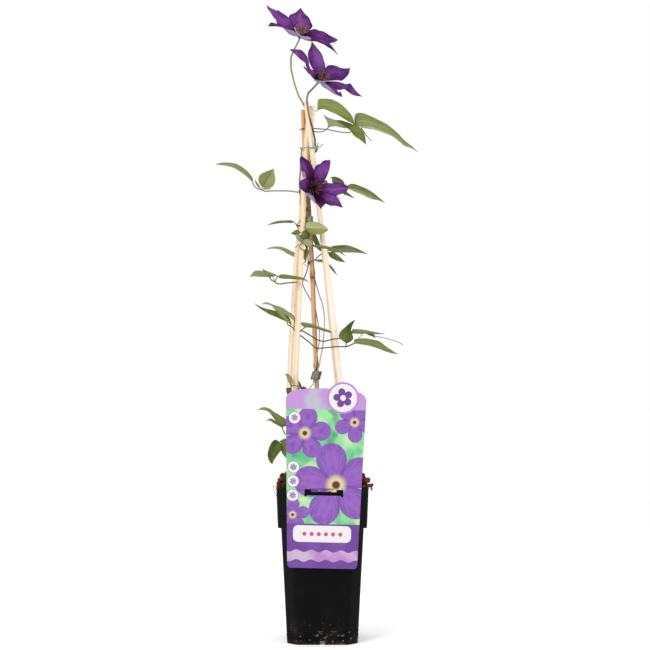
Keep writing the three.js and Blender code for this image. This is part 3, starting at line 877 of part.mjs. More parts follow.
function makeLabel() {
  const plate = new THREE.Shape();
  plate.moveTo(-36, 0);
  plate.lineTo(36, 0);
  plate.quadraticCurveTo(40.8, 0, 41, 5);
  plate.lineTo(47.2, 197);
  plate.quadraticCurveTo(46.5, 204.5, 38, 207.5);
  plate.lineTo(-37, 208);
  plate.quadraticCurveTo(-46.5, 204.5, -47.2, 197);
  plate.lineTo(-41, 5);
  plate.quadraticCurveTo(-40.8, 0, -36, 0);
  plate.holes.push(slotPath());
  const crown = new THREE.Shape();
  crown.moveTo(-38, 206);
  crown.quadraticCurveTo(-20, LABEL_HEIGHT + 0.5, 6, LABEL_HEIGHT);
  crown.lineTo(38, 206);
  crown.closePath();
  const badge = new THREE.Shape();
  badge.absarc(BADGE.across, BADGE.up, BADGE.radius, 0, 2 * Math.PI, false);
  const flat = { depth: LABEL_THICKNESS, bevelEnabled: false, curveSegments: 8 };
  const faces = [plate, crown, badge].map((shape) => solidOf(new THREE.ExtrudeGeometry(shape, flat)
    .rotateX(Math.PI / 2).rotateY(LABEL_LEAN).translate(LABEL_MIDDLE, LABEL_BACK, LABEL_FOOT)));
  return join([...faces, ...tabBlocks(0)]);
}

// The hook behind the label: a strip bent back over the pot's rim and down inside it.
function tabBlocks(extra) {
  const { width, rise, depth, thickness } = TAB;
  const top = RIM_HEIGHT + GAP + rise;
  const inside = -(RIM_HALF - WALL - HOOK_GAP);
  const back = inside + thickness;
  const front = LABEL_BACK - LABEL_THICKNESS / 2;
  return [
    block(width + 2 * extra, back - front + 2 * extra, thickness + 2 * extra,
      0, (front + back) / 2, top + thickness / 2),
    block(width + 2 * extra, thickness + 2 * extra, depth + thickness + 2 * extra,
      0, inside + thickness / 2, top - depth / 2 + thickness / 2),
  ];
}

// ---- assembly -----------------------------------------------------------------------------------
const COLOURS = {
  pot: [0x1b191a, 0.55], soil: [0x4a2a1a, 0.95], stick: [0xecd0a6, 0.7], cane: [0xb27c4b, 0.6],
  stem: [0x7f8a4a, 0.65], petal: [0x6d3a8f, 0.6], stamen: [0x8a5560, 0.7], wire: [0x3c6a58, 0.45],
  clip: [0x82846c, 0.6], label: [0xc8a6e0, 0.4],
};
const clematis = new THREE.Group();

function place(name, solid, colour) {
  const [color, roughness] = COLOURS[colour];
  const mesh = new THREE.Mesh(
    geometryOf(solid), new THREE.MeshStandardMaterial({ color, roughness, metalness: 0 }));
  mesh.name = name;
  clematis.add(mesh);
}

const HOLE_CLEARANCE = 0.6;
const HOLE_STEP = 9;
const standing = [
  ...Object.values(RODS).map((rod) => makeRod(rod, HOLE_CLEARANCE, ROD_SIDES + 2)),
  ...Object.values(ROUTES).map(([stem]) => tube(
    routeThrough(stem.route.slice(0, 4).map(([a, u, b], i) => [a, i === 0 ? u - HOLE_CLEARANCE : u, b])),
    stem.radius + HOLE_CLEARANCE, ROD_SIDES, HOLE_STEP)),
];
place("pot", makePot(), "pot");
place("soil", makeSoil(standing, join(tabBlocks(GAP))), "soil");
place("stick_right", makeRod(RODS.stick_right), "stick");
place("stick_left_front", makeRod(RODS.stick_left_front), "stick");
place("stick_left_back", makeRod(RODS.stick_left_back), "stick");
place("bamboo_cane", makeCane(), "cane");
for (const name of Object.keys(ROUTES)) place(`leafy_stem_${name}`, makeLeafyStem(name), "stem");
for (const [name, bloom] of Object.entries(BLOOMS)) {
  place(`${name}_petals`, makePetals(bloom), "petal");
  place(`${name}_stamens`, makeStamens(bloom), "stamen");
}
place("tie_wire", makeTie(), "wire");
for (const [name, clip] of Object.entries(CLIPS)) place(name, makeClip(clip), "clip");
place("label", makeLabel(), "label");

export default clematis;
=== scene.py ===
"""A clematis in bloom, tied to a tripod of peeled sticks in its square nursery pot.

Metres, +Z up, front towards -Y. The tables are in millimetres and the shapes are scaled at the end.
"""
import math

import bmesh
import bpy
import numpy as np
from mathutils import Matrix, Vector, noise


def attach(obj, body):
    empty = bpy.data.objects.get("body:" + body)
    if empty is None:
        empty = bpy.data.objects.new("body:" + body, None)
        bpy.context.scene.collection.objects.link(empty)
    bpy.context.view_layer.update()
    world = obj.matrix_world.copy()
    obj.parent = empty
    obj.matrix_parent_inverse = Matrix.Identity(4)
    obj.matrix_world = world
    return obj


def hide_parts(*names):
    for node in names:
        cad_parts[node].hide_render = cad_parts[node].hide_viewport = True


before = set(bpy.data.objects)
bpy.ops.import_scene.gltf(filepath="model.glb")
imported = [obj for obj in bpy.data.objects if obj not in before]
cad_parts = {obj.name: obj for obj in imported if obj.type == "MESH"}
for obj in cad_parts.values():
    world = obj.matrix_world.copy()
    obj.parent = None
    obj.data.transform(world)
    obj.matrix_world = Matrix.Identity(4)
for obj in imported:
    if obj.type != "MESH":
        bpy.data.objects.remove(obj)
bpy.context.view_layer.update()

MM = 0.001
SEED = 11

# ---- driving dimensions, as in the construction ----
RIM_HEIGHT = 186
RIM_HALF = 55
COLLAR_FOOT_HEIGHT = 138
COLLAR_FOOT_HALF = 52.8
BODY_TOP_HALF = 49
BASE_HALF = 42
CORNER_CUT = 12
WALL = 1.7
FLOOR = 2
FOOT_HEIGHT = 4
FOOT_WIDTH = 4
PAD_RADIUS = 13
DRAIN_RADIUS = 4.5
DRAIN_SPACING = 25
NOTCH_WIDTH = 5.8
NOTCH_HEIGHT = 6
GAP = 0.3
WIRE_RADIUS = 0.65

# The plant and its sticks are drawn in front elevation, as an eye level with the middle of the
# plant sees them; a point set back by y lies further out along the same line of sight.
EYE_DISTANCE = 2200
EYE_ACROSS = 3
EYE_HEIGHT = 378

# ---- camera, light and floor ----
LENS = 101.19
SENSOR = 36
WORLD_LIGHT = 1.0
KEY_POWER = 34
FILL_POWER = 7
# how much of a surface's colour this light brings back to the screen
LIT_SHARE = 0.62
FLOOR_RADIUS = 1.3
FLOOR_GLOW = 0.14
FLOOR_COLOUR = (0.93, 0.93, 0.93, 1)
FLOOR_SIDES = 96


def add_object(name, data):
    made = bpy.data.objects.new(name, data)
    bpy.context.scene.collection.objects.link(made)
    return made


def set_camera():
    lens = bpy.data.cameras.new("camera")
    lens.lens = LENS
    lens.sensor_width = SENSOR
    lens.sensor_fit = "HORIZONTAL"
    camera = add_object("camera", lens)
    camera.location = (EYE_ACROSS * MM, -EYE_DISTANCE * MM, EYE_HEIGHT * MM)
    camera.rotation_euler = (math.pi / 2, 0, 0)
    bpy.context.scene.camera = camera


def add_softbox(name, place, aim, size, power):
    light = bpy.data.lights.new(name, "AREA")
    light.shape = "SQUARE"
    light.size = size
    light.energy = power
    lamp = add_object(name, light)
    lamp.location = place
    lamp.rotation_euler = (Vector(aim) - Vector(place)).to_track_quat("-Z", "Y").to_euler()


def set_light():
    world = bpy.data.worlds.new("studio")
    world.use_nodes = True
    backdrop = world.node_tree.nodes["Background"]
    backdrop.inputs["Color"].default_value = (1, 1, 1, 1)
    backdrop.inputs["Strength"].default_value = WORLD_LIGHT
    bpy.context.scene.world = world
    add_softbox("key", (-1.3, -1.9, 1.7), (0, 0, 0.4), 1.2, KEY_POWER)
    add_softbox("fill", (1.8, -1.2, 0.9), (0, 0, 0.4), 1.4, FILL_POWER)
    bpy.context.scene.view_settings.view_transform = "Standard"


# ---- shader maths ----
def maths_operator(operation, swapped=False):
    """A method that joins a wire and another term by one Math node."""
    def joined(self, other):
        return self.maths(operation, *((other, self) if swapped else (self, other)))
    return joined


class Wire:
    """One output of a finish's nodes. Arithmetic on it adds Math nodes."""

    def __init__(self, finish, socket):
        self.finish = finish
        self.socket = socket

    def maths(self, operation, *terms):
        return self.finish.node("ShaderNodeMath", {"operation": operation}, dict(enumerate(terms)))

    __add__ = __radd__ = maths_operator("ADD")
    __sub__ = maths_operator("SUBTRACT")
    __rsub__ = maths_operator("SUBTRACT", swapped=True)
    __mul__ = __rmul__ = maths_operator("MULTIPLY")
    __truediv__ = maths_operator("DIVIDE")
    __rtruediv__ = maths_operator("DIVIDE", swapped=True)
    __pow__ = maths_operator("POWER")
    least = maths_operator("MINIMUM")
    most = maths_operator("MAXIMUM")

    def __neg__(self):
        return self.maths("MULTIPLY", self, -1)

    def __abs__(self):
        return self.maths("ABSOLUTE", self)

    def root(self):
        return self.maths("SQRT", self)

    def sine(self):
        return self.maths("SINE", self)

    def wrapped(self, high, low):
        return self.maths("WRAP", self, high, low)

    def ramp(self, start, end, low=0.0, high=1.0):
        """Goes smoothly from low at start to high at end."""
        return self.finish.node(
            "ShaderNodeMapRange", {"interpolation_type": "SMOOTHSTEP"},
            {"Value": self, "From Min": start, "From Max": end, "To Min": low, "To Max": high})


def paint(red, green, blue, light=1.0):
    """A screen colour, 0 to 255 a channel, as the linear colour that shows it in this light."""
    def linear(level):
        share = level / 255
        return share / 12.92 if share <= 0.04045 else ((share + 0.055) / 1.055) ** 2.4
    return tuple(linear(level) * light * LIT_SHARE for level in (red, green, blue)) + (1,)


class Finish:
    """A material with one Principled shader, and the nodes that feed it."""

    def __init__(self, name, roughness, gloss=0.5):
        self.material = bpy.data.materials.new(name)
        self.material.use_nodes = True
        self.tree = self.material.node_tree
        self.shader = self.tree.nodes["Principled BSDF"]
        self.shader.inputs["Roughness"].default_value = roughness
        self.shader.inputs["Specular IOR Level"].default_value = gloss

    def node(self, kind, settings=None, sockets=None, output=0):
        """Adds a node, sets it up, fills its sockets with values or wires, and returns an output."""
        made = self.tree.nodes.new(kind)
        for key, value in (settings or {}).items():
            if key == "stops":
                while len(made.color_ramp.elements) < len(value):
                    made.color_ramp.elements.new(0.5)
                for element, (position, colour) in zip(made.color_ramp.elements, value):
                    element.position = position
                    element.color = colour
            else:
                setattr(made, key, value)
        for key, value in (sockets or {}).items():
            if isinstance(value, Wire):
                self.tree.links.new(value.socket, made.inputs[key])
            else:
                made.inputs[key].default_value = value
        return Wire(self, made.outputs[output])

    def feed(self, socket, wire):
        self.tree.links.new(wire.socket, self.shader.inputs[socket])

    def split(self, vector):
        return [self.node("ShaderNodeSeparateXYZ", {}, {0: vector}, axis) for axis in range(3)]

    def attribute(self, name):
        """The three numbers that each point of a piece carries under this name."""
        return self.split(self.node("ShaderNodeAttribute", {"attribute_name": name}, output="Vector"))

    def place(self):
        """Where a point lies, in metres."""
        return self.node("ShaderNodeTexCoord", output="Object")

    def vector(self, x, y, z):
        return self.node("ShaderNodeCombineXYZ", {}, {"X": x, "Y": y, "Z": z})

    def noise(self, place, scale, detail, roughness):
        sockets = {"Scale": scale, "Detail": detail, "Roughness": roughness}
        return self.node("ShaderNodeTexNoise", {}, {"Vector": place or self.place(), **sockets})

    def cells(self, place, scale, feature):
        sockets = {"Vector": place or self.place(), "Scale": scale}
        return self.node("ShaderNodeTexVoronoi", {"feature": feature}, sockets)

    def bump(self, height, strength, distance):
        self.feed("Normal", self.node(
            "ShaderNodeBump", {}, {"Height": height, "Strength": strength, "Distance": distance * MM}))


def mix(factor, first, second):
    """Goes from the first colour to the second as the factor goes from 0 to 1."""
    return factor.finish.node("ShaderNodeMix", {"data_type": "RGBA"}, {0: factor, 6: first, 7: second}, 2)


def over(colour, *layers):
    """Lays more colours over a first one, each where its mask is 1."""
    for mask, layer in layers:
        colour = mix(mask, colour, layer)
    return colour


# ---- curves ----
def sight(across, up, back):
    """Points of the front elevation, set back along their lines of sight."""
    spread = 1 + back / EYE_DISTANCE
    return np.stack([EYE_ACROSS + (across - EYE_ACROSS) * spread, back + 0 * spread,
                     EYE_HEIGHT + (up - EYE_HEIGHT) * spread], axis=-1)


class Route:
    """A centripetal Catmull-Rom curve through points, read by the share of its length."""

    STEPS = 24

    def __init__(self, points):
        points = np.array(points, float)
        points = np.vstack([2 * points[0] - points[1], points, 2 * points[-1] - points[-2]])
        pieces = []
        for a, b, c, d in zip(points, points[1:], points[2:], points[3:]):
            first, span, last = (max(np.linalg.norm(q - p), 1e-6) ** 0.5 for p, q in ((a, b), (b, c), (c, d)))
            leave = span * ((b - a) / first - (c - a) / (first + span) + (c - b) / span)
            arrive = span * ((c - b) / span - (d - b) / (span + last) + (d - c) / last)
            t = (np.arange(self.STEPS) / self.STEPS)[:, None]
            pieces.append(b + leave * t + (3 * (c - b) - 2 * leave - arrive) * t ** 2
                          + (2 * (b - c) + leave + arrive) * t ** 3)
        pieces.append(points[-2:-1])
        self.places = np.vstack(pieces)
        steps = np.linalg.norm(np.diff(self.places, axis=0), axis=1)
        self.lengths = np.concatenate([[0], np.cumsum(steps)])
        self.length = self.lengths[-1]

    def at(self, shares):
        along = np.asarray(shares, float) * self.length
        return np.stack([np.interp(along, self.lengths, self.places[:, k]) for k in range(3)], axis=-1)

    def nearest(self, place):
        """The share of the length at which the curve passes closest to a place."""
        gaps = np.linalg.norm(self.places - place, axis=1)
        return self.lengths[gaps.argmin()] / self.length, gaps.min()


def bell(distance, width):
    return np.exp(-(distance / width) ** 2)


def elevation_route(points):
    return Route([sight(*point) for point in points])


# ---- pieces ----
class Piece:
    """Collects the closed shells of one piece, with what its finish needs to know at each point."""

    def __init__(self):
        self.points = []
        self.faces = []
        self.marks = {}
        self.count = 0

    def add(self, points, faces, **marks):
        points = np.asarray(points, float).reshape(-1, 3)
        self.points.append(points)
        self.faces.extend([tuple(int(i) + self.count for i in face) for face in faces])
        for name in set(marks) | set(self.marks):
            rows = self.marks.setdefault(name, [np.zeros((self.count, 3))] if self.count else [])
            rows.append(np.broadcast_to(np.asarray(marks.get(name, (0, 0, 0)), float), points.shape))
        self.count += len(points)

    def mesh(self, name):
        mesh = bpy.data.meshes.new(name)
        mesh.from_pydata((np.vstack(self.points) * MM).tolist(), [], self.faces)
        for key, rows in self.marks.items():
            mark_points(mesh, key, np.vstack(rows))
        turn_outward(mesh)
        return mesh

    def make(self, name, finish, slot, *replaced, smooth=True):
        mesh = self.mesh(name)
        mesh.polygons.foreach_set("use_smooth", [smooth] * len(mesh.polygons))
        mesh.materials.append(finish.material)
        return settle(name, mesh, slot, *replaced)


def mark_points(mesh, name, vectors):
    data = mesh.attributes.new(name, "FLOAT_VECTOR", "POINT")
    data.data.foreach_set("vector", vectors.astype(np.float32).ravel())


def turn_outward(mesh):
    work = bmesh.new()
    work.from_mesh(mesh)
    bmesh.ops.recalc_face_normals(work, faces=work.faces)
    work.to_mesh(mesh)
    work.free()


def settle(name, mesh, slot, *replaced):
    made = add_object(name, mesh)
    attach(made, "root")
    if replaced:
        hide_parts(*replaced)
    return made


def grid_faces(rows, columns, start=0, closed=False):
    """Faces of a grid of points, row by row; a closed grid joins its last column to its first."""
    faces = []
    for i in range(rows - 1):
        for j in range(columns if closed else columns - 1):
            k = (j + 1) % columns
            faces.append((start + i * columns + j, start + i * columns + k,
                          start + (i + 1) * columns + k, start + (i + 1) * columns + j))
    return faces


def tube_shell(route, radius, sides, step, turn=0.0, ends=(1.0, 1.0)):
    """Rings along a route. `radius` is a number, or a function of length along and angle round."""
    count = max(3, int(round(route.length / step)) + 1)
    shares = np.linspace(0, 1, count)
    centres = route.at(shares)
    forward = np.gradient(centres, axis=0)
    forward /= np.linalg.norm(forward, axis=1)[:, None]
    side = np.zeros_like(forward)
    side[0] = np.cross(forward[0], (0.31, 0.93, 0.2))
    for i in range(count):
        guess = side[i - 1] if i else side[0]
        side[i] = guess - forward[i] * guess.dot(forward[i])
        side[i] /= np.linalg.norm(side[i])
    other = np.cross(forward, side)
    angles = np.arange(sides) * 2 * math.pi / sides + turn
    along = shares[:, None] * route.length
    width = radius(along, angles[None, :]) if callable(radius) else np.full((count, sides), radius)
    width = width * np.ones((count, sides))
    width[0] *= ends[0]
    width[-1] *= ends[1]
    rings = (centres[:, None] + width[..., None] * (np.cos(angles)[None, :, None] * side[:, None]
                                                    + np.sin(angles)[None, :, None] * other[:, None]))
    points = np.vstack([rings.reshape(-1, 3), centres[:1], centres[-1:]])
    faces = grid_faces(count, sides, closed=True)
    first, last = count * sides, count * sides + 1
    faces += [(first, (j + 1) % sides, j) for j in range(sides)]
    faces += [(last, (count - 1) * sides + j, (count - 1) * sides + (j + 1) % sides) for j in range(sides)]
    marks = np.zeros((count, sides, 3))
    marks[..., 0] = along
    marks[..., 1] = angles[None, :]
    caps = [[0, 0, 1], [route.length, 0, 1]]
    return points, faces, np.vstack([marks.reshape(-1, 3), caps])


def lump_points(draw, size):
    """A small broken lump: a ball with its corners pushed about."""
    points = LUMP_POINTS * (1 + CRUMB_ROUGHNESS * (draw.random(len(LUMP_POINTS)) - 0.5))[:, None]
    points = points * np.array([1, 0.6 + 0.4 * draw.random(), CRUMB_SQUASH]) * size
    return points @ random_turn(draw).T


def random_turn(draw):
    a, b, c = draw.random(3) * 2 * math.pi
    return np.array(Matrix.Rotation(a, 3, "X") @ Matrix.Rotation(b, 3, "Y") @ Matrix.Rotation(c, 3, "Z"))


def ball_mesh(divisions):
    work = bmesh.new()
    bmesh.ops.create_icosphere(work, subdivisions=divisions, radius=1)
    points = np.array([tuple(v.co) for v in work.verts])
    faces = [tuple(v.index for v in f.verts) for f in work.faces]
    work.free()
    return points, faces


LUMP_POINTS, LUMP_FACES = ball_mesh(2)
BALL_POINTS, BALL_FACES = ball_mesh(3)


# ---- sticks and cane ----
# Each route runs from the top of the piece down to its foot in the soil.
RODS = {
    "stick_right": (3.6, [(-19.5, 647.5, -9), (-13, 592.5, -5.55), (-3.5, 513, -2), (3.5, 456.5, 0),
     (9.5, 403.5, 2.5), (19.5, 312, 6.5), (35, 181.5, 12), (38, 112, 13)]),
    "stick_left_front": (3.3, [(-14.5, 641.5, 1.5), (-20, 592.5, -1.5), (-25.5, 468.5, -10),
     (-28.5, 403.5, -14), (-32.5, 312, -20), (-38, 181.5, -28), (-41, 112, -31)]),
    "stick_left_back": (3.2, [(-11, 641.5, 8.8), (-16.5, 592.5, 5.6), (-25, 513, 11), (-32, 448, 16.5),
     (-34.5, 403.5, 20), (-37.5, 357.5, 23), (-39.5, 312, 26), (-40.5, 251.5, 29), (-40.5, 181.5, 32),
     (-40.5, 112, 32)]),
    "bamboo_cane": (2.8, [(-23.5, 637, 13.5), (-21.5, 592.5, 13), (-19.5, 569.5, 14), (-18, 546.5, 14.5),
     (-17, 527.5, 12.5), (-16, 509.5, 9.4), (-15, 492.5, 7), (-14, 474.5, 4.8), (-13, 454, 3.4),
     (-12, 436, 2), (-11, 403.5, 0), (-7, 306, -4), (-4, 181.5, -7), (-3, 104.5, -8)]),
}

CANE_KNOTS = [0.165, 0.383, 0.59, 0.8]
STICK_SIDES = 28
TOP_TAPER = 0.14
TOP_TAPER_LENGTH = 9
STICK_STEP = 4
CANE_SIDES = 24
CANE_STEP = 0.9
# how stout each peeled stick is at its top and at its foot, how yellow, how peachy and how much painted light
# it gets
STICKS = {
    "stick_right": (0.86, 1.36, 0.15, 0.1, 0.6),
    "stick_left_front": (1.04, 0.9, 0.8, 0.0, 0.0),
    "stick_left_back": (1.02, 0.96, 0.2, 0.5, 0.3),
}


def peeled_outline(radius, length, top, foot, seed):
    """A whittled stick: a round with soft flats and slow swellings along it."""
    draw = np.random.default_rng(seed)
    phase = draw.random(4) * 2 * math.pi

    def width(along, angle):
        flats = 0.018 * np.cos(3 * angle + phase[0] + along / 90) + 0.012 * np.cos(5 * angle + phase[1])
        swelling = 0.025 * np.sin(along / 37 + phase[2]) + 0.015 * np.sin(along / 13 + phase[3])
        slim_top = TOP_TAPER * np.exp(-along / TOP_TAPER_LENGTH)
        taper = top + (foot - top) * between(along / length, 0.2, 0.62)
        return radius * (taper + flats + swelling - slim_top)
    return width


def make_stick(name, finish, seed):
    radius, points = RODS[name]
    top, foot, *tone = STICKS[name]
    route = elevation_route(points)
    piece = Piece()
    outline = peeled_outline(radius, route.length, top, foot, seed)
    shell, faces, grain = tube_shell(route, outline, STICK_SIDES, STICK_STEP, turn=seed, ends=(0.93, 1))
    centre = route.at(grain[:, 0] / route.length)
    facing = (shell[:, 0] - centre[:, 0]) / radius
    piece.add(shell, faces, grain=grain, tone=tone, seed=np.stack(
        [0 * facing + seed, facing, grain[:, 0] / route.length], axis=1))
    piece.make(name + "_peeled", finish, "stick", name)


def make_cane(finish):
    radius, points = RODS["bamboo_cane"]
    route = elevation_route(points)
    knots = [share * route.length for share in CANE_KNOTS]

    def width(along, angle):
        wide = radius * (1 + 0.012 * np.sin(along / 31) + 0 * angle)
        for knot in knots:
            wide = wide + 0.7 * bell(along - knot + 5, 5)
            wide = wide - 0.45 * bell(along - knot, 0.9)
            wide = wide + 0.35 * bell(along - knot - 2.2, 1.6)
        return wide

    piece = Piece()
    shell, faces, grain = tube_shell(route, width, CANE_SIDES, CANE_STEP, ends=(0.92, 1))
    knot_nearness = np.zeros(len(grain))
    for knot in knots:
        knot_nearness = np.maximum(knot_nearness, bell(grain[:, 0] - knot, 7))
    facing = (shell[:, 0] - route.at(grain[:, 0] / route.length)[:, 0]) / radius
    piece.add(shell, faces, grain=grain, seed=np.stack(
        [grain[:, 0] / route.length, knot_nearness, facing], axis=1))
    piece.make("bamboo_cane_jointed", finish, "cane", "bamboo_cane")


def stick_finish():
    """Peeled wood: pale and peachy, with painted shade down its left flank, painted light low on its right
    side where its tone asks for it, and painted light with a painted shadow stripe at the top of the
    peachiest stick.
    """
    finish = Finish("peeled_stick", roughness=0.7, gloss=0.12)
    along, angle, cap = finish.attribute("grain")
    seed, facing, share = finish.attribute("seed")
    yellow, peach, painted_light_amount = finish.attribute("tone")
    fibres = finish.noise(finish.vector(angle.sine() * 3, seed * 7, along * 0.012), 4, 5, 0.6)
    streaks = finish.noise(finish.vector(angle.sine() * 2.4, seed * 3, along * 0.004), 2.2, 2, 0.5)
    pale = mix(fibres.ramp(0.35, 0.68), paint(255, 232, 208, 1.24), paint(255, 244, 228, 1.3))
    golden = mix(fibres.ramp(0.35, 0.68), paint(255, 224, 180, 1.18), paint(255, 234, 198, 1.24))
    pale = mix(yellow, pale, golden)
    # painted shade: the flank that faces left is darker, streaked like the wood
    painted_shade_flank = (facing + (streaks - 0.5) * 0.8).ramp(-0.2, -0.55)
    # painted light over the top of the peachiest stick, with a painted shadow stripe down its left side
    painted_light_top = share.ramp(0.1, 0.05) * peach.ramp(0.3, 0.5)
    painted_shadow_stripe = abs(facing + 0.5).ramp(0.08, 0.24, 1, 0) * painted_light_top
    knots = finish.noise(finish.vector(angle.sine() * 1.4, seed * 5, along * 0.05), 1.3, 1, 0.4)
    warm = over(
        mix(streaks.ramp(0.5, 0.72, 0, 0.6), pale, paint(255, 218, 182, 1.15)),
        (painted_shade_flank * (0.7 - painted_light_amount * 0.4), mix(fibres, paint(244, 202, 168), paint(252, 218, 190))),
        (peach * share.ramp(0.12, 0.4, 1.2, 0.25), paint(255, 218, 184, 1.24)),
        (painted_light_top * 0.9, paint(255, 226, 208, 1.75)),
        (painted_shadow_stripe * 0.9, paint(196, 142, 102)),
        # painted light on the lower part of the sticks, towards their right side
        (painted_light_amount * share.ramp(0.3, 0.6) * facing.ramp(-0.7, 0.1), paint(255, 240, 222, 1.5)))
    marked = mix(knots.ramp(0.79, 0.84, 0, 0.6), warm, paint(190, 140, 94))
    rings = finish.noise(None, 900, 2, 0.5).ramp(0.4, 0.6)
    cut_end = mix(rings, paint(214, 176, 130), paint(240, 214, 176))
    finish.feed("Base Color", mix(cap, marked, cut_end))
    finish.bump(fibres + streaks, 0.35, 0.25)
    return finish


def cane_finish():
    finish = Finish("bamboo_skin", roughness=0.5, gloss=0.18)
    along, angle, cap = finish.attribute("grain")
    share, knot, facing = finish.attribute("seed")
    fibres = finish.noise(finish.vector(angle.sine() * 5, 2.5, along * 0.01), 5, 5, 0.6)
    blotches = finish.noise(finish.vector(angle.sine() * 1.5, 7, along * 0.03), 1.6, 4, 0.6)
    # painted shade: the right side of the cane darker, more so below its top
    shaded = facing.ramp(0.3, 0.85) * share.ramp(0.12, 0.3, 0.35, 0.8)
    russet = share.ramp(0.17, 0.2) * share.ramp(0.26, 0.23)
    skin = over(
        mix(fibres, paint(208, 150, 92, 1.1), paint(242, 194, 136, 1.15)),
        (share.ramp(0.02, 0.2, 0.75, 0), paint(240, 180, 116)),
        # painted light: the left side of the cane paler
        (facing.ramp(0.0, -0.7, 0, 0.55), paint(246, 206, 154)),
        (shaded, paint(112, 70, 42)),
        (blotches.ramp(0.54, 0.74, 0, 0.7), paint(136, 82, 42)),
        (russet * 0.7, mix(fibres, paint(120, 66, 26), paint(184, 110, 48))),
        (knot.ramp(0.1, 0.8, 0, 0.5), paint(186, 112, 66)),
        (knot.ramp(0.9, 0.99, 0, 0.8), paint(92, 58, 40)))
    finish.feed("Base Color", mix(cap * 0.8, skin, paint(120, 80, 50)))
    finish.bump(fibres, 0.3, 0.2)
    return finish


# ---- leaves, petals and stalks ----
def swell(t):
    return np.sin(np.pi * t) ** 0.8


def between(value, start, end):
    share = np.clip((value - start) / (end - start), 0, 1)
    return share * share * (3 - 2 * share)


class Blade:
    """A leaf or a petal: two sheets a blade's thickness apart, closed round the edge."""

    FOLD_COLUMNS = 7
    LEAST_FOLD = 0.04

    def __init__(self, base, tip, one, two, depth, lean, wave, look, tone=(0, 0, 0), dark=0.45, folds=()):
        self.edges = [Route([(x, 0, z) for x, z in (base, *side, tip)]) for side in (one, two)]
        self.depth, self.lean, self.wave = depth, lean, wave
        self.look, self.tone, self.dark, self.folds = look, tone, dark, folds

    def place(self, t, c, lift=0.0):
        """Points at shares t along the blade and c across it, from edge one at -1 to edge two at 1."""
        one, two = (edge.at(np.clip(t, 0, 1)) for edge in self.edges)
        rib = (one + two) / 2
        towards = np.where(c[..., None] < 0, one, two)
        flat = rib + (towards - rib) * np.abs(c)[..., None]
        base, middle, tip = self.depth
        back = base * (1 - t) * (1 - 2 * t) + middle * 4 * t * (1 - t) + tip * t * (2 * t - 1)
        lean_one, lean_rib, lean_two = self.lean
        lean = lean_rib + (np.where(c < 0, lean_one, lean_two) - lean_rib) * np.abs(c) ** 1.15
        phase = np.where(c < 0, 0.4, 2.3)
        ripple = self.wave * c * c * np.sin(2 * np.pi * 2.5 * t + phase)
        ruffle = 0.28 * self.wave * c ** 4 * np.sin(2 * np.pi * 7.5 * t + 3 * phase)
        return sight(flat[..., 0], flat[..., 2], back + swell(t) * (lean + ripple + ruffle) + lift)

    def half_width(self, t):
        one, two = (edge.at(t) for edge in self.edges)
        return np.linalg.norm(two - one, axis=-1) / 2

    def sheet(self, rows, columns):
        """The middle sheet, with the shares along and across of each of its points."""
        t = np.linspace(0.006, 0.996, rows)[:, None]
        halves = []
        for side in (-1, 1):
            fold = next((f for f in self.folds if f[0] == side), None)
            flat = np.linspace(0, 1, columns // 2 + 1)[None, :] * np.ones_like(t)
            if fold is None:
                halves.append((flat, np.zeros_like(flat)))
                continue
            _, width, start, end, lift, *last = fold
            wide = width + ((last or [width])[0] - width) * between(t, start, end)
            reach = np.maximum(self.LEAST_FOLD, wide * between(t, start - 0.1, start + 0.02)
                               * (1 - between(t, end - 0.12, end)))
            turned = np.linspace(0, 1, self.FOLD_COLUMNS + 1)[None, 1:]
            roll = np.sin(np.minimum(turned * 3, 1) * np.pi / 2)
            off = lift * roll * np.minimum(1, reach / 0.25)
            halves.append((np.hstack([flat, 1 - reach * turned]), np.hstack([np.zeros_like(flat), off])))
        (left, left_off), (right, right_off) = halves
        c = np.hstack([-left[:, :0:-1], right])
        return t * np.ones_like(c), c, np.hstack([left_off[:, :0:-1], right_off])

    def shells(self, piece, tag, rows, columns, thickness, nerves):
        t, c, off = self.sheet(rows, columns)
        sheet = self.place(t, c, off)
        along, across = np.gradient(sheet, axis=0), np.gradient(sheet, axis=1)
        normal = np.cross(along, across)
        normal /= np.maximum(np.linalg.norm(normal, axis=2), 1e-9)[..., None]
        middle = sheet.shape[1] // 2
        if normal[:, middle, 1].mean() > 0:
            normal = -normal
        wide = np.maximum(self.half_width(t), 0.15)
        ridge = sum(height * bell((c - nerve) * wide, breadth)
                    for nerve, height, breadth in nerves) * (1 - 0.75 * t)
        edge = thickness * (1 - 0.5 * np.abs(c) ** 3)
        up_face, under_face = edge / 2 - 0.5 * ridge, edge / 2 + ridge
        sides = (1, 0) if self.look[0] else (0, 1)
        front, back = (under_face, up_face) if sides[0] else (up_face, under_face)
        shells = [sheet + normal * front[..., None], sheet - normal * back[..., None]]
        height, breadth = t.shape
        count = height * breadth
        faces = grid_faces(height, breadth) + [f[::-1] for f in grid_faces(height, breadth, count)]
        index = np.arange(count).reshape(height, breadth)
        border = [*index[0], *index[1:, -1], *index[-1, -2::-1], *index[-2:0:-1, 0]]
        for p, q in zip(border, border[1:] + border[:1]):
            faces.append((q, p, p + count, q + count))
        places = [np.stack([t, c, np.full_like(t, under)], axis=-1) for under in sides]
        grain = np.stack([t * self.edges[0].length, c * wide, np.full_like(t, tag)], axis=-1)
        piece.add(np.stack(shells), faces, place=np.reshape(places, (-1, 3)),
                  grain=np.reshape([grain, grain], (-1, 3)), tint=(*self.look[1:], self.dark), tone=self.tone)


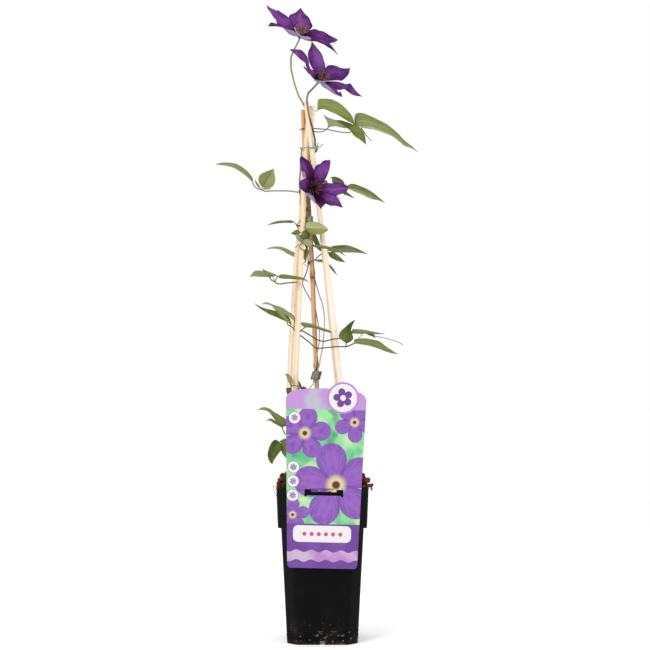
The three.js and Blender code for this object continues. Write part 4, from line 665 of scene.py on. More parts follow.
# Stalks, each with its radius and its route; the first of each stem is the climbing one.
TALL_STALKS = [
    (1.15, [(-2, 167.5, -15), (-1, 194, -14), (-2.5, 239.5, -12), (-4, 281.5, -10), (-6, 306, -9),
     (-6, 322.5, -8.6), (-4, 328.5, -8), (-2.5, 338.5, -7), (0, 350.5, -5.5), (1.5, 366, -4), (2.5, 384, -4),
     (1.5, 395, -5), (-0.5, 404.5, -5), (-3, 411.5, -3.4), (-5.5, 419.5, 0.2), (-7.5, 426, 4.6),
     (-9.5, 433.5, 8), (-11, 440.5, 9.6), (-12.5, 450, 10.2), (-14.5, 460, 10), (-18, 468.5, 9),
     (-21.5, 476.5, 6.6), (-23, 484.5, 3.2), (-22.5, 492.5, 0.2), (-21.5, 499.5, -1.8), (-21.5, 507, -1),
     (-24, 514, 1), (-26.5, 521.5, 0), (-26.5, 532, -1.5), (-27, 538, -2.5), (-27.5, 546.5, -2.5),
     (-27.5, 555, -2.2), (-26.5, 564.5, -2), (-26.5, 574.5, -4), (-25.5, 582, -4.6), (-25.5, 586.5, -2.2),
     (-24, 590.5, 2.3), (-23, 594, 5), (-22, 599, 6.2), (-20.5, 605.5, 6.3), (-20, 613, 6.2),
     (-19, 625, 5.5), (-20, 634.5, 4), (-21, 640, 3), (-23, 644, 2)]),
    (0.9, [(-23, 644, 2), (-25.5, 648.5, 1.6), (-28.5, 653.5, 2), (-30.5, 659, 3), (-33, 666, 3),
     (-35, 673.5, 3.5), (-36.5, 680, 4), (-38, 687.5, 4), (-38, 694.5, 3.5), (-38, 699.5, 3),
     (-36, 705.5, 2), (-33.5, 711, 1.7), (-30, 717.5, 1.1), (-27.5, 723, 1)]),
    (0.8, [(-20, 613, 6.2), (-19, 613.5, 9.8), (-17.5, 614, 13), (-13, 614.5, 13.8), (-9, 614.5, 9.6),
     (-9, 614.5, 2), (-9, 614.5, -5), (-7, 614.5, -9.4), (-3, 614, -10.8), (5.5, 613.5, -11),
     (12.5, 612, -12), (21, 610.5, -13), (28.5, 609.5, -14), (33, 610, -15), (35.5, 612, -15),
     (38.5, 616, -15)]),
    (0.7, [(-13, 614.5, 13.8), (-11.5, 612, 13), (-9, 611, 9), (-8, 610.5, 0), (-7, 610.5, -6),
     (-4, 610.5, -9.6), (1, 611, -10.5), (4, 613, -10), (6, 615, -10.2)]),
    (0.6, [(-20, 613, 6.2), (-22, 615, 8.1), (-23.5, 614.5, 8.6), (-25.5, 613.5, 9.6), (-27.5, 614, 12.4)]),
    (0.75, [(-27, 538, -2.5), (-30.5, 538, -3), (-36.5, 539, -2), (-45, 539.5, 0), (-52.5, 539.5, 2),
     (-61, 539.5, 4), (-68, 539, 5), (-72, 540, 5), (-74.5, 541, 5), (-79.5, 543, 6), (-82.5, 545.5, 7),
     (-84, 549.5, 8)]),
]
MIDDLE_STALKS = [
    (1.1, [(-19.5, 167.5, -18), (-20, 194, -17), (-20.5, 239.5, -15), (-20, 281.5, -13), (-18, 298.5, -11),
     (-11.5, 307, -9.4), (-10.5, 313, -9), (-9.5, 322, -8.6), (-8.5, 331, -8.3), (-7.5, 338.5, -7.4),
     (-6, 345.5, -6.3), (-4.5, 354, -4.7), (-3.5, 365, -2), (-4.5, 375.5, 1), (-6.5, 386.5, 3.5),
     (-8.5, 396, 4.6), (-14, 407, 5), (-17.5, 414, 4.5), (-21, 420, 4), (-24, 428.5, 3.8), (-23, 433, 3.2),
     (-20.5, 438.5, 2.2), (-18, 446, 0.9), (-17, 452.5, 0.2), (-17.5, 460, 0), (-19, 468.5, 0.4),
     (-19.5, 475.5, 0.9), (-20, 483, 1), (-19.5, 495, 1.5), (-19, 507, 2.4), (-18.5, 519, 3.2),
     (-17.5, 532, 2.6), (-16, 544, 2.4), (-14.5, 557.5, 1.8), (-14, 567, 1.6), (-13.5, 574.5, 1.6),
     (-13, 579.5, 2.4), (-12, 583.5, 3.2), (-10, 586, 3.8), (-8, 587, 2.1), (-7, 588.5, -1),
     (-7.5, 590, -4.4)]),
    (0.9, [(-7.5, 590, -4.4), (-8, 592.5, -8.2), (-9, 595.5, -10.4), (-9, 600.5, -11.6),
     (-10.5, 607.5, -13.2), (-12, 614, -14.4), (-14, 621.5, -14.6), (-16.5, 631, -14.8), (-18, 640.5, -15),
     (-19, 647.5, -14.4), (-18.5, 652.5, -12.4), (-16.5, 658, -8.6), (-12, 662.5, -7), (-5.5, 669.5, -6.6)]),
    (0.9, [(-16, 543, 2.4), (-14.5, 543.5, -4), (-13, 543, -10), (-12.5, 542, -14.2)]),
    (0.7, [(-19, 470, 0.5), (-16.5, 473.5, -3.4), (-11.5, 474.5, -3.8), (-7, 471.5, -3), (-5, 469.5, 1),
     (-2.5, 468, 5), (1, 467, 6.6), (5, 467, 7), (8, 467.5, 7.2)]),
    (0.6, [(-17, 453.5, 0.2), (-14, 454, -2.9), (-11, 456, -3), (-9, 456.5, -2.2), (-6.5, 459, -0.4),
     (-3.5, 462, 2.6), (-0.5, 464, 5.6), (3, 465.5, 6.8), (6.5, 465, 6.8)]),
    (0.7, [(-20, 490, 1), (-16.5, 491, -3.5), (-17, 492.5, -9)]),
    (0.7, [(-20, 480.5, 0.8), (-14.5, 480, -4.2), (-16.5, 479, -10.8), (-20, 479, -13.5),
     (-22.5, 477.5, -14.6), (-24.5, 477, -15)]),
    (0.6, [(-19.5, 476.5, 0.8), (-15, 476.5, -4.2), (-14.5, 475.5, -7), (-13, 473.5, -8.4)]),
    (0.6, [(-19.5, 485, 1), (-20, 484.5, 7), (-18.5, 485, 11), (-16, 485.5, 13), (-12, 486, 13)]),
    (0.7, [(-14.5, 557.5, 1.8), (-8, 552.5, 3.6), (0.5, 547.5, 5), (9, 544, 6), (17.5, 543, 8),
     (24.5, 543.5, 10), (29.5, 543.5, 11)]),
    (0.6, [(-20, 475.5, 1), (-16, 476, -2.6), (-15, 476, -7), (-16.5, 476.5, -13), (-21.5, 476.5, -15.6),
     (-25.5, 475.5, -15.6), (-27.5, 473, -15.4), (-26.5, 470, -14.6), (-22.5, 467.5, -13)]),
]
LOW_STALKS = [
    (1.15, [(-28.5, 167.5, -22), (-28.5, 194, -20.5), (-28.5, 239.5, -17), (-29, 281.5, -14),
     (-29.5, 302, -13), (-30, 324, -11.5), (-30, 348, -10), (-30, 366, -8.8), (-29.5, 378, -8.4),
     (-29, 393.5, -7.6), (-28, 408, -6.6), (-27.5, 420, -5.8), (-27, 430, -5), (-26.5, 442, -4.2),
     (-26.5, 460, -3), (-27, 476.5, -2), (-26, 485, -1.2), (-26, 492, -0.8), (-26.5, 496, -1),
     (-28.5, 497.5, -1.4), (-31, 497.5, -2)]),
    (0.6, [(-31, 497.5, -2), (-32.5, 500, -3.4), (-34, 502, -4.8)]),
    (0.7, [(-26.5, 458.5, -3), (-25.5, 459, 3), (-25.5, 459.5, 10), (-25.5, 460, 17.6), (-27.5, 460.5, 22.4),
     (-31, 461, 22.8)]),
    (0.75, [(-27, 428.5, -5), (-31.5, 429.5, -9), (-38, 429, -12), (-44, 428.5, -14), (-50, 427.5, -16),
     (-55, 428, -17), (-58, 430.5, -18), (-61, 431.5, -18.5), (-62.5, 433.5, -19), (-64, 436, -19)]),
    (0.6, [(-57.5, 430, -18), (-56, 433, -18.4), (-55, 435, -18.8), (-54.5, 437, -19)]),
    (0.7, [(-29.5, 371, -8.7), (-34, 372, -10.5), (-35, 374, -14), (-39, 377, -17), (-42, 378.5, -19),
     (-42.5, 381.5, -20), (-44.5, 384, -20.6)]),
    (0.6, [(-39, 377, -17), (-38.5, 378.5, -17.4), (-38, 380.5, -17.6)]),
    (0.6, [(-34.5, 373.5, -13), (-34, 377, -13), (-34, 381, -13)]),
    (0.7, [(-30, 367, -8.8), (-26.5, 371, -9), (-24, 373, -12), (-21, 375, -14), (-17.5, 376.5, -15)]),
    (0.75, [(-30, 366.5, -8.8), (-25.5, 371, -8.8), (-20, 368.5, -9.5), (-12.5, 364, -10),
     (-6.5, 360.5, -9.4), (-0.5, 358.5, -9.5), (5.5, 359, -10), (12.5, 361, -11), (18.5, 361.5, -12.4),
     (23, 363, -13)]),
    (0.75, [(-30, 362.5, -9.2), (-26.5, 365, -9), (-21, 361, -11.5), (-15, 356.5, -13), (-10, 351.5, -14),
     (-6.5, 350, -14.2), (-3, 350, -14), (3, 350.5, -13.8), (12.5, 351.5, -14), (21, 352, -15),
     (28.5, 352, -16), (33, 353.5, -17), (39.5, 356.5, -18)]),
    (0.6, [(28, 352, -16), (28.5, 355.5, -14.6), (28.5, 358.5, -14)]),
    (0.7, [(-29.5, 301, -13), (-26.5, 302, -19), (-27.5, 303.5, -26.2), (-32, 305, -28), (-36, 305, -27.4),
     (-38, 303.5, -24)]),
    (0.6, [(-29.5, 298.5, -13.1), (-26.5, 299.5, -12.4), (-25, 301, -12)]),
    (0.7, [(-29, 283, -14), (-31, 269.5, -9), (-35.5, 256.5, -8), (-40.5, 247.5, -14), (-44, 246, -22),
     (-46, 248, -27), (-48, 253, -30), (-49.5, 256.5, -31)]),
    (0.7, [(-28.5, 225, -18.2), (-30.5, 232.5, -10), (-35.5, 236, -8), (-41.5, 238.5, -14),
     (-46.5, 239, -24), (-50.5, 238.5, -32)]),
]

# A blade is stretched between two edges that meet at its base and its tip. `depth` is how far back
# it lies at base, middle and tip; `lean` sets back edge one, the rib and edge two at its widest.
# `look` gives, for the side that shows at the front: 0 its upper face or 1 its underside, how pale
# and how yellow it is (a petal's paleness also feeds its painted light and shade); `tone` how much
# paler (or, below 0, darker) edge one's half, edge two's half and the rib are, partly their own
# colour and partly painted light and shade; `dark` how far along a petal its dark heart reaches. A
# fold turns an edge over: the edge, its width as a share of half the blade's, where it starts and ends
# along the blade, how far it stands off, and its width at the end where that differs.
TALL_LEAVES = {
    "right_top_leaf": Blade((38.5, 619.5), (-6, 637), [(37.5, 625), (35.5, 630), (30.5, 636), (22, 644),
     (13, 649), (3, 650.5), (-5, 649.5), (-6, 644.5)], [(33.5, 622), (28.5, 624.5), (18.5, 630.5),
     (10, 634.5), (1, 638)], (-15, -20, -8), (-7, -1, 3), 1, (0, 0.8, 0.75), tone=(0.05, -0.05, 0.3),
     folds=[(1, 0.14, 0.2, 0.95, -0.8)]),
    "right_end_leaf": Blade((39, 617), (114.5, 586), [(38.5, 629), (40.5, 632.5), (46, 633.5), (54.5, 631),
     (65, 626), (77, 620), (90.5, 609), (99, 600), (108, 593)], [(44, 617), (51, 615), (61.5, 613.5),
     (73.5, 609.5), (83.5, 605.5), (90.5, 600.5), (99, 593.5), (108, 590.5)], (-15, -20, -32), (7, 0, -4),
     1.2, (0, 0.72, 0.4), tone=(-0.08, 0.08, 0.4), folds=[(1, 0.3, 0.1, 0.95, -0.8)]),
    "right_front_leaf": Blade((35, 611), (52.5, 595), [(30.5, 621.5), (37, 619.5), (44, 616.5), (48.5, 613),
     (51, 607)], [(36, 608.5), (38, 606), (46, 600.5)], (-15.4, -24, -34), (3, 0, -2), 0.7, (0, 0.4, 1),
     tone=(0, -0.12, -0.2)),
    "right_front_lobe": Blade((34.5, 611.5), (15.5, 624.5), [(34.5, 620), (28.5, 622.5), (22, 624.5)],
     [(33, 612.5), (28.5, 616.5), (22, 621)], (-15.4, -22, -28), (-2, 0, 2), 0.4, (0, 0.12, 1)),
    "right_under_leaf": Blade((6, 615), (1, 631), [(6.5, 619.5), (4.5, 625)], [(9, 616.5), (16.5, 617.5),
     (27, 615), (31, 615.5), (27, 621), (19.5, 624), (15, 625), (6.5, 628)], (-10.2, -8, 4), (-3, 0, 4), 0.6,
     (1, 0.55, 0.6)),
    "left_end_leaf": Blade((-83.5, 549.5), (-129, 571.5), [(-84.5, 555.5), (-91, 563.5), (-104, 572),
     (-121, 573.5)], [(-89.5, 555), (-97, 561), (-108, 567.5), (-118.5, 570)], (8, 18, 26), (9, 0, -8), 0.9,
     (0, 0.78, 0.5), tone=(-0.05, 0.02, 0.2), folds=[(1, 0.3, 0.1, 0.9, -0.7)]),
    "left_heart_leaf": Blade((-72.5, 543.5), (-59, 566), [(-77, 551), (-76, 558), (-68.5, 562.5)],
     [(-61, 544), (-57, 552), (-58, 561)], (5, 0, -5), (-2, 0.6, -2), 0.6, (0, 0.9, 0.3),
     tone=(-0.05, 0.22, -0.6)),
    "left_thin_leaf": Blade((-75, 542), (-81.5, 553), [(-77.5, 544), (-80.5, 548.5)], [(-76, 546),
     (-79, 550)], (5, 14, 26), (-4, 0, 4), 0.4, (1, 0.5, 0.1)),
    "left_strip_leaf": Blade((-73, 542), (-62, 542), [(-69, 543.5), (-65.5, 543.5)], [(-69, 541),
     (-65.5, 541)], (5, -6, -20), (-6, 0, 5), 0.5, (1, 0.7, 0.1)),
}
MIDDLE_LEAVES = {
    "front_pale_leaf": Blade((-20.5, 493), (7, 493), [(-19.5, 501), (-12.5, 502.5), (-3, 500.5), (4, 496)],
     [(-17.5, 490), (-11, 487), (-2.5, 487.5), (5, 490.5)], (-10, -17, -22), (4, -3, -3), 0.8,
     (0, 0.95, 0.7), tone=(0.85, -0.02, 0.4)),
    "front_dark_leaf": Blade((-19.5, 491), (-23.5, 482), [(-23.5, 489.5), (-26, 485)], [(-14.5, 486.5),
     (-18.5, 481)], (-10, -14, -24), (-3, 0, 4), 0.5, (0, 0.35, 0.8), tone=(0.12, -0.5, 0)),
    "front_small_tip": Blade((-26.5, 489.5), (-38, 488), [(-30, 493), (-34.5, 491)], [(-30, 486.5),
     (-34.5, 486.5)], (-15, -22, -36), (-2, 0, 3), 0.4, (0, 0.75, 0.6), tone=(-0.15, 0, 0.3)),
    "front_grey_leaf": Blade((-24, 476.5), (-33, 487.5), [(-23, 480), (-24.5, 484), (-27.5, 487),
     (-30.5, 487.5)], [(-27, 478), (-30.5, 481.5), (-32, 484)], (-15, -19, -26), (3, 0, -3), 0.5,
     (1, 0.75, 0.15)),
    "front_low_leaf": Blade((-24, 477.5), (-12, 475.5), [(-22.5, 480.5), (-19, 481.5), (-14.5, 480)],
     [(-20.5, 474.5), (-17, 472.5), (-13.5, 473.5)], (-15.2, -24, -30), (-3, 0, 3), 0.5, (1, 0.6, 0.3)),
    "front_side_leaf": Blade((-13, 486), (-0.5, 466), [(-9.5, 487.5), (-5, 480.5), (-2.5, 473.5),
     (-1, 469.5)], [(-12, 482), (-10.5, 477.5), (-6.5, 471.5), (-2.5, 467)], (13, 15, 11), (1.5, 0, -1.5),
     0.4, (0, 0.4, 0.9), tone=(-0.25, 0.02, 0)),
    "right_long_leaf": Blade((-14, 474), (27.5, 461), [(-5.5, 474.5), (9, 472), (21, 467.5)], [(-5.5, 470.5),
     (8, 469.5), (20, 465.5)], (-8, -24, -38), (-5, 0, 5), 0.6, (0, 0.55, 0.2), tone=(0.32, -0.2, 0)),
    "right_far_leaf": Blade((5, 470), (54, 463.5), [(12.5, 473), (20, 474), (29.5, 474), (38, 471.5),
     (47, 467.5)], [(11.5, 466), (27, 465.5), (42.5, 465)], (6.4, 18, 32), (8, 0, -6), 0.9, (0, 0.55, 0),
     tone=(-0.15, 0.25, 0.2)),
    "right_dark_leaf": Blade((6.5, 465.5), (27.5, 453.5), [(12.5, 466), (17, 463.5), (22.5, 458.5)],
     [(8.5, 460.5), (14, 457), (21, 454.5)], (6.2, 10, 20), (-3, 0, 4), 0.6, (0, 0.38, 1),
     tone=(0.05, -0.2, 0)),
    "right_strip_leaf": Blade((-10, 456), (17.5, 437.5), [(-5.5, 457), (0, 456.5), (8.5, 451), (14, 445)],
     [(-5.5, 454), (0, 453.5), (8, 448), (13, 442)], (-2.6, 7.4, 4), (-1, 0, 1), 0.4, (0, 0.75, 0.2),
     tone=(0.15, 0, 0)),
    "cane_leaf": Blade((-19.5, 470.5), (-20.5, 452.5), [(-22.5, 467.5), (-23, 461)], [(-18.5, 466.5),
     (-19, 458.5)], (0.2, -3, -3), (-0.6, 0, -0.6), 0.3, (0, 0.6, 0.2)),
    "behind_long_leaf": Blade((27.5, 544), (75.5, 525), [(34.5, 548), (47.5, 544.5), (58.5, 539),
     (68, 531.5)], [(35.5, 540), (47.5, 535), (58.5, 530), (68, 528)], (11, 20, 30), (5, 0, -4), 0.8,
     (0, 0.52, 0.55), tone=(-0.1, 0.2, -0.25), folds=[(1, 0.5, 0.12, 0.8, -0.7)]),
    "behind_curl_leaf": Blade((24.5, 546), (9.5, 556), [(26.5, 548.5), (22.5, 553.5), (15, 556.5)],
     [(20, 545.5), (12, 549.5), (11.5, 554)], (10, 6, 2), (3, 0, -3), 0.5, (0, 0.34, 0.35),
     tone=(-0.15, 0.05, 0.5)),
    "behind_low_leaf": Blade((22.5, 544), (38.5, 530.5), [(27, 540), (33, 535.5)], [(24.5, 536.5),
     (30.5, 533.5)], (10, 14, 22), (-4, 0, 4), 0.4, (0, 0.4, 0.4)),
    "behind_small_leaf": Blade((1, 547), (6, 551), [(1, 550), (2, 552), (4, 552.5)], [(3.5, 547),
     (6, 548.5)], (5, -1, -3), (-1, 0, 1), 0.3, (0, 1, 0.3), tone=(0.3, 0.1, 0)),
}
LOW_LEAVES = {
    "left_thin_upper_leaf": Blade((-34, 502), (-66.5, 498), [(-37.5, 504), (-43.5, 504), (-52.5, 503.5),
     (-60, 501.5)], [(-36.5, 501), (-43.5, 501), (-52.5, 500.5), (-59, 499.5)], (-5, -14, -20), (-5, 0, 5),
     0.4, (0, 0.66, 0.3), tone=(0.1, -0.35, 0)),
    "left_slim_leaf": Blade((-30.5, 460.5), (-67.5, 469.5), [(-33.5, 465), (-37.5, 467), (-43.5, 470),
     (-49.5, 472), (-56, 472.5), (-63, 471.5)], [(-34.5, 460), (-36.5, 461), (-42.5, 464), (-49, 468),
     (-54, 469.5), (-61, 470)], (22, 27, 34), (4, 0, -3), 0.5, (0, 1, 0), tone=(0.1, 0.2, 0.2)),
    "left_near_leaf": Blade((-64, 436), (-88, 436), [(-68, 440.5), (-72.5, 443), (-75.5, 443.5),
     (-79, 443.5), (-82.5, 442.5), (-85.5, 439)], [(-69, 436), (-74.5, 436), (-80, 436.5), (-85, 436.5)],
     (-19, -27, -36), (7, 0, -4), 0.8, (0, 0.95, 0.3), tone=(0, 0.08, 0)),
    "left_dark_leaf": Blade((-54.5, 437.5), (-72.5, 445.5), [(-57, 439), (-60.5, 440.5), (-67, 443)],
     [(-59.5, 436.5), (-65, 436), (-69, 436), (-70.5, 441)], (-19, -14, -6), (3, 0, -3), 0.5, (0, 0.45, 0.5),
     tone=(0.25, -0.25, 0)),
    "left_inner_leaf": Blade((-55, 436), (-16, 430), [(-49.5, 439), (-42.5, 438.5), (-36.5, 437.5),
     (-30, 436.5), (-23, 434.5)], [(-49.5, 434), (-41, 433.5), (-32, 433), (-24.5, 432.5)], (-19, -27, -22),
     (3, 0, -3), 0.7, (0, 0.5, 0.5), tone=(0.02, -0.15, -0.3)),
    "left_long_leaf": Blade((-38, 381), (-82, 404), [(-40, 387), (-46.5, 391.5), (-54, 394.5),
     (-62.5, 396.5), (-72, 399)], [(-43, 382), (-50, 385), (-57, 388), (-64, 391), (-70, 394.5),
     (-75.5, 398)], (-17.4, -20, -36), (3, 0, -2), 0.8, (0, 0.42, 1), tone=(0.05, -0.05, 0)),
    "left_curled_leaf": Blade((-33.5, 381.5), (-73.5, 403), [(-33, 387), (-37, 391.5), (-42, 394.5),
     (-47, 398), (-54, 401), (-61, 403), (-68, 405.5)], [(-35, 383.5), (-39, 387), (-44, 390), (-50, 394),
     (-59, 400), (-67, 403)], (-13, -26, -30), (3, 0, -2), 0.8, (1, 0.5, 0.3), tone=(-0.12, 0.2, 0)),
    "left_curled_half": Blade((-37.5, 379), (-61.5, 402), [(-37.5, 381.5), (-40.5, 384), (-44, 388),
     (-47, 392), (-50, 394.5), (-54, 398), (-58, 401)], [(-39.5, 379.5), (-42.5, 382), (-47.5, 386),
     (-52, 390), (-56, 395), (-59, 398.5)], (-19, -28.5, -29), (-1.5, 0, 1.5), 0.4, (0, 0.7, 0.5),
     tone=(0.2, 0, 0.3)),
    "middle_leaf": Blade((-22.5, 376.5), (12, 368.5), [(-25.5, 378), (-25.5, 381), (-17.5, 380.5), (-9, 378),
     (0, 374.5), (8.5, 371.5)], [(-17.5, 375), (-12.5, 374.5), (-5.5, 373), (3.5, 370)], (-12, -20, -26),
     (3, 0, -3), 0.8, (0, 0.5, 0.1), tone=(0.2, -0.1, 0)),
    "right_heart_leaf": Blade((28.5, 356), (39, 384), [(25, 358.5), (21, 361.5), (19.5, 365), (22, 370.5),
     (27.5, 375.5), (33.5, 381)], [(33, 357.5), (37, 361.5), (36, 366.5), (34.5, 371.5), (36, 377.5)],
     (-14.6, -12, -10), (-3, 2, -3), 0.7, (0, 0.3, 0.9), tone=(0.08, -0.3, 0.2)),
    "right_grey_leaf": Blade((34.5, 368), (75, 367.5), [(36, 372.5), (42.5, 373), (51.5, 372), (61, 370),
     (68.5, 368.5)], [(41, 367.5), (47.5, 367.5), (56, 367.5), (64.5, 367)], (-12, -2, 6), (3, 0, -3), 0.7,
     (0, 0.55, 0.2), tone=(0.25, 0, 0)),
    "right_grey_tooth": Blade((50, 369), (64, 362), [(56, 369), (62, 366.5)], [(55, 366), (60.5, 364)],
     (-3.6, 0, 3), (-1, 0, 1), 0.3, (0, 0.4, 0.1)),
    "right_end_leaf_low": Blade((38, 356), (90.5, 343), [(38.5, 360.5), (43.5, 361.5), (49.5, 362),
     (60, 360.5), (69, 358), (76, 352.5), (83, 348)], [(44, 355), (56.5, 353), (67.5, 349.5), (78, 345.5),
     (84, 344)], (-18, -26, -38), (6, 0, -5), 1, (0, 0.58, 0.5), tone=(-0.05, 0, 0.3)),
    "low_left_tip": Blade((-38, 303.5), (-45, 319), [(-36, 308), (-36, 313), (-38, 316), (-41, 319)],
     [(-39.5, 306.5), (-42, 311.5), (-43.5, 316)], (-24, -28, -33), (-2, 0, 2), 0.4, (0, 0.8, 0.4),
     tone=(0.4, 0.5, 0)),
    "low_left_second": Blade((-37.5, 302), (-42.5, 294.5), [(-40.5, 302.5), (-43.5, 302), (-43.5, 298)],
     [(-37, 299), (-39, 296)], (-24.4, -26, -29), (-2, 0, 2), 0.3, (0, 0.45, 0.6)),
    "low_middle_tip": Blade((-24.5, 301), (-29, 311), [(-25, 304), (-26.5, 307.5)], [(-27.5, 302),
     (-28.5, 306)], (-12, -12, -14), (-1, 0, 1), 0.3, (0, 0.5, 0.2)),
    "low_middle_strip": Blade((-25.5, 301), (-18.5, 301), [(-23.5, 304), (-20.5, 303)], [(-23.5, 300),
     (-20.5, 300)], (-12, -12, -13), (-1, 0, 1), 0.3, (0, 0.35, 0.3)),
    "low_upper_leaf": Blade((-49, 255), (-78, 276), [(-41, 258), (-43, 263.5), (-51, 269), (-58.5, 273.5),
     (-64.5, 277.5), (-71.5, 279)], [(-55, 260.5), (-58.5, 265.5), (-61.5, 269.5), (-64.5, 273),
     (-70, 275.5)], (-31, -36, -48), (7, 0, -7), 0.9, (0, 0.75, 0.4), tone=(0, 0.1, 0.5)),
    "low_curled_leaf": Blade((-47.5, 254), (-68, 262.5), [(-49, 258), (-56, 262), (-62.5, 265.5)],
     [(-52.5, 256.5), (-59.5, 260.5), (-64, 263)], (-31, -24, -14), (3, 0, -3), 0.5, (0, 0.55, 0.3)),
    "low_heart_leaf": Blade((-52, 237), (-60.5, 210.5), [(-56.5, 240), (-61, 237), (-64.5, 230),
     (-66, 221.5), (-64, 214)], [(-49.5, 233.5), (-49.5, 228), (-53, 223), (-58, 216)], (-32, -38, -40),
     (-3, 1, -2), 0.8, (0, 0.3, 0.6), tone=(0, -0.15, 0.1)),
    "low_under_leaf": Blade((-50.5, 237), (-40, 214), [(-50.5, 231), (-49, 224.5), (-44.5, 218.5)],
     [(-47, 241), (-41.5, 239.5), (-37.5, 232.5), (-37, 222.5)], (-32, -37, -38), (2, 0, -2), 0.6,
     (0, 0.42, 0.6)),
}
STALKS = {"tall": TALL_STALKS, "middle": MIDDLE_STALKS, "low": LOW_STALKS}
LEAVES = {"tall": TALL_LEAVES, "middle": MIDDLE_LEAVES, "low": LOW_LEAVES}

TOP_PETALS = {
    "up_left": Blade((-27, 726), (-67.5, 763.5), [(-34, 737.5), (-41, 748.5), (-46.5, 752.5), (-50.5, 755),
     (-53, 757), (-55.5, 756.5), (-58, 758), (-62, 759.5)], [(-34.5, 734), (-44, 736), (-54.5, 740.5),
     (-55.5, 743.5), (-56.5, 746), (-58.5, 748), (-60, 750), (-62, 753.5), (-65.5, 758)], (1, 10, 18),
     (4, 0, -3), 0.8, (0, 0.85, 0.6), tone=(0, 0.2, -0.1)),
    "left": Blade((-27, 725.5), (-65.5, 737.5), [(-34.5, 734.5), (-46.5, 738.5), (-56, 741), (-62.5, 742)],
     [(-32, 725.5), (-39, 727.5), (-44.5, 732.5), (-47.5, 735.5), (-55, 737.5), (-61, 737.5)], (0, -9, -17),
     (4, 0, -5), 0.6, (0, 0.5, 0.3), tone=(0, -0.1, 0), folds=[(1, 1.9, 0, 0.72, -1, 0.2)]),
    "top": Blade((-26, 726), (-26.5, 760), [(-33.5, 735.5), (-40.5, 749), (-39.5, 751), (-37, 752.5),
     (-33, 754), (-29.5, 757)], [(-17, 732), (-12, 737.5), (-13.5, 742), (-15, 745.5), (-17, 749),
     (-21, 752.5), (-23.5, 756)], (2, 15, 25), (0, 3, 0), 0.7, (0, 0.62, 0.5), tone=(0.05, 0.05, 0.3)),
    "right": Blade((-25.5, 725.5), (18.5, 721.5), [(-18.5, 731.5), (-12, 734), (-9, 734.5), (-4, 732.5),
     (1, 731.5), (9, 726.5), (15, 723.5)], [(-18, 723), (-8, 720), (4, 717), (8.5, 717), (10, 717.5),
     (13, 718), (16.5, 719.5)], (1, 4, 8), (3, 0, -3), 0.8, (0, 0.45, 0.5), tone=(-0.1, -0.2, 0)),
    "front_right": Blade((-25.5, 724.5), (18.5, 703.5), [(-14, 724.5), (-3, 722.5), (8.5, 717), (10, 715.5),
     (12, 713), (14.5, 709.5)], [(-20, 721), (-12.5, 720), (-8, 719.5), (-3, 717.5), (2, 715.5),
     (6.5, 712.5), (11.5, 709.5), (15, 706.5)], (0, -16, -26), (4, 0, -5), 0.7, (0, 0.3, 0.4),
     tone=(0, -0.5, 0), folds=[(1, 1.2, 0, 0.3, -0.8, 0.2)]),
    "back": Blade((-26, 726), (-19.5, 749), [(-28.5, 733), (-26, 743)], [(-18, 734.5), (-15.5, 743)],
     (2, 22, 38), (0, 2, 0), 0.7, (0, 0.3, 0.4)),
    "front_fold": Blade((-33.5, 736.5), (-10, 719.5), [(-31, 732), (-28, 728), (-23, 726), (-17.5, 725.5),
     (-14, 723.5)], [(-32.5, 732), (-29.5, 727.5), (-26, 723.5), (-21, 721), (-14, 719.5)],
     (-1.2, -4.6, -10), (0.6, -0.6, 0.6), 0.2, (1, 0.9, 0.2)),
}
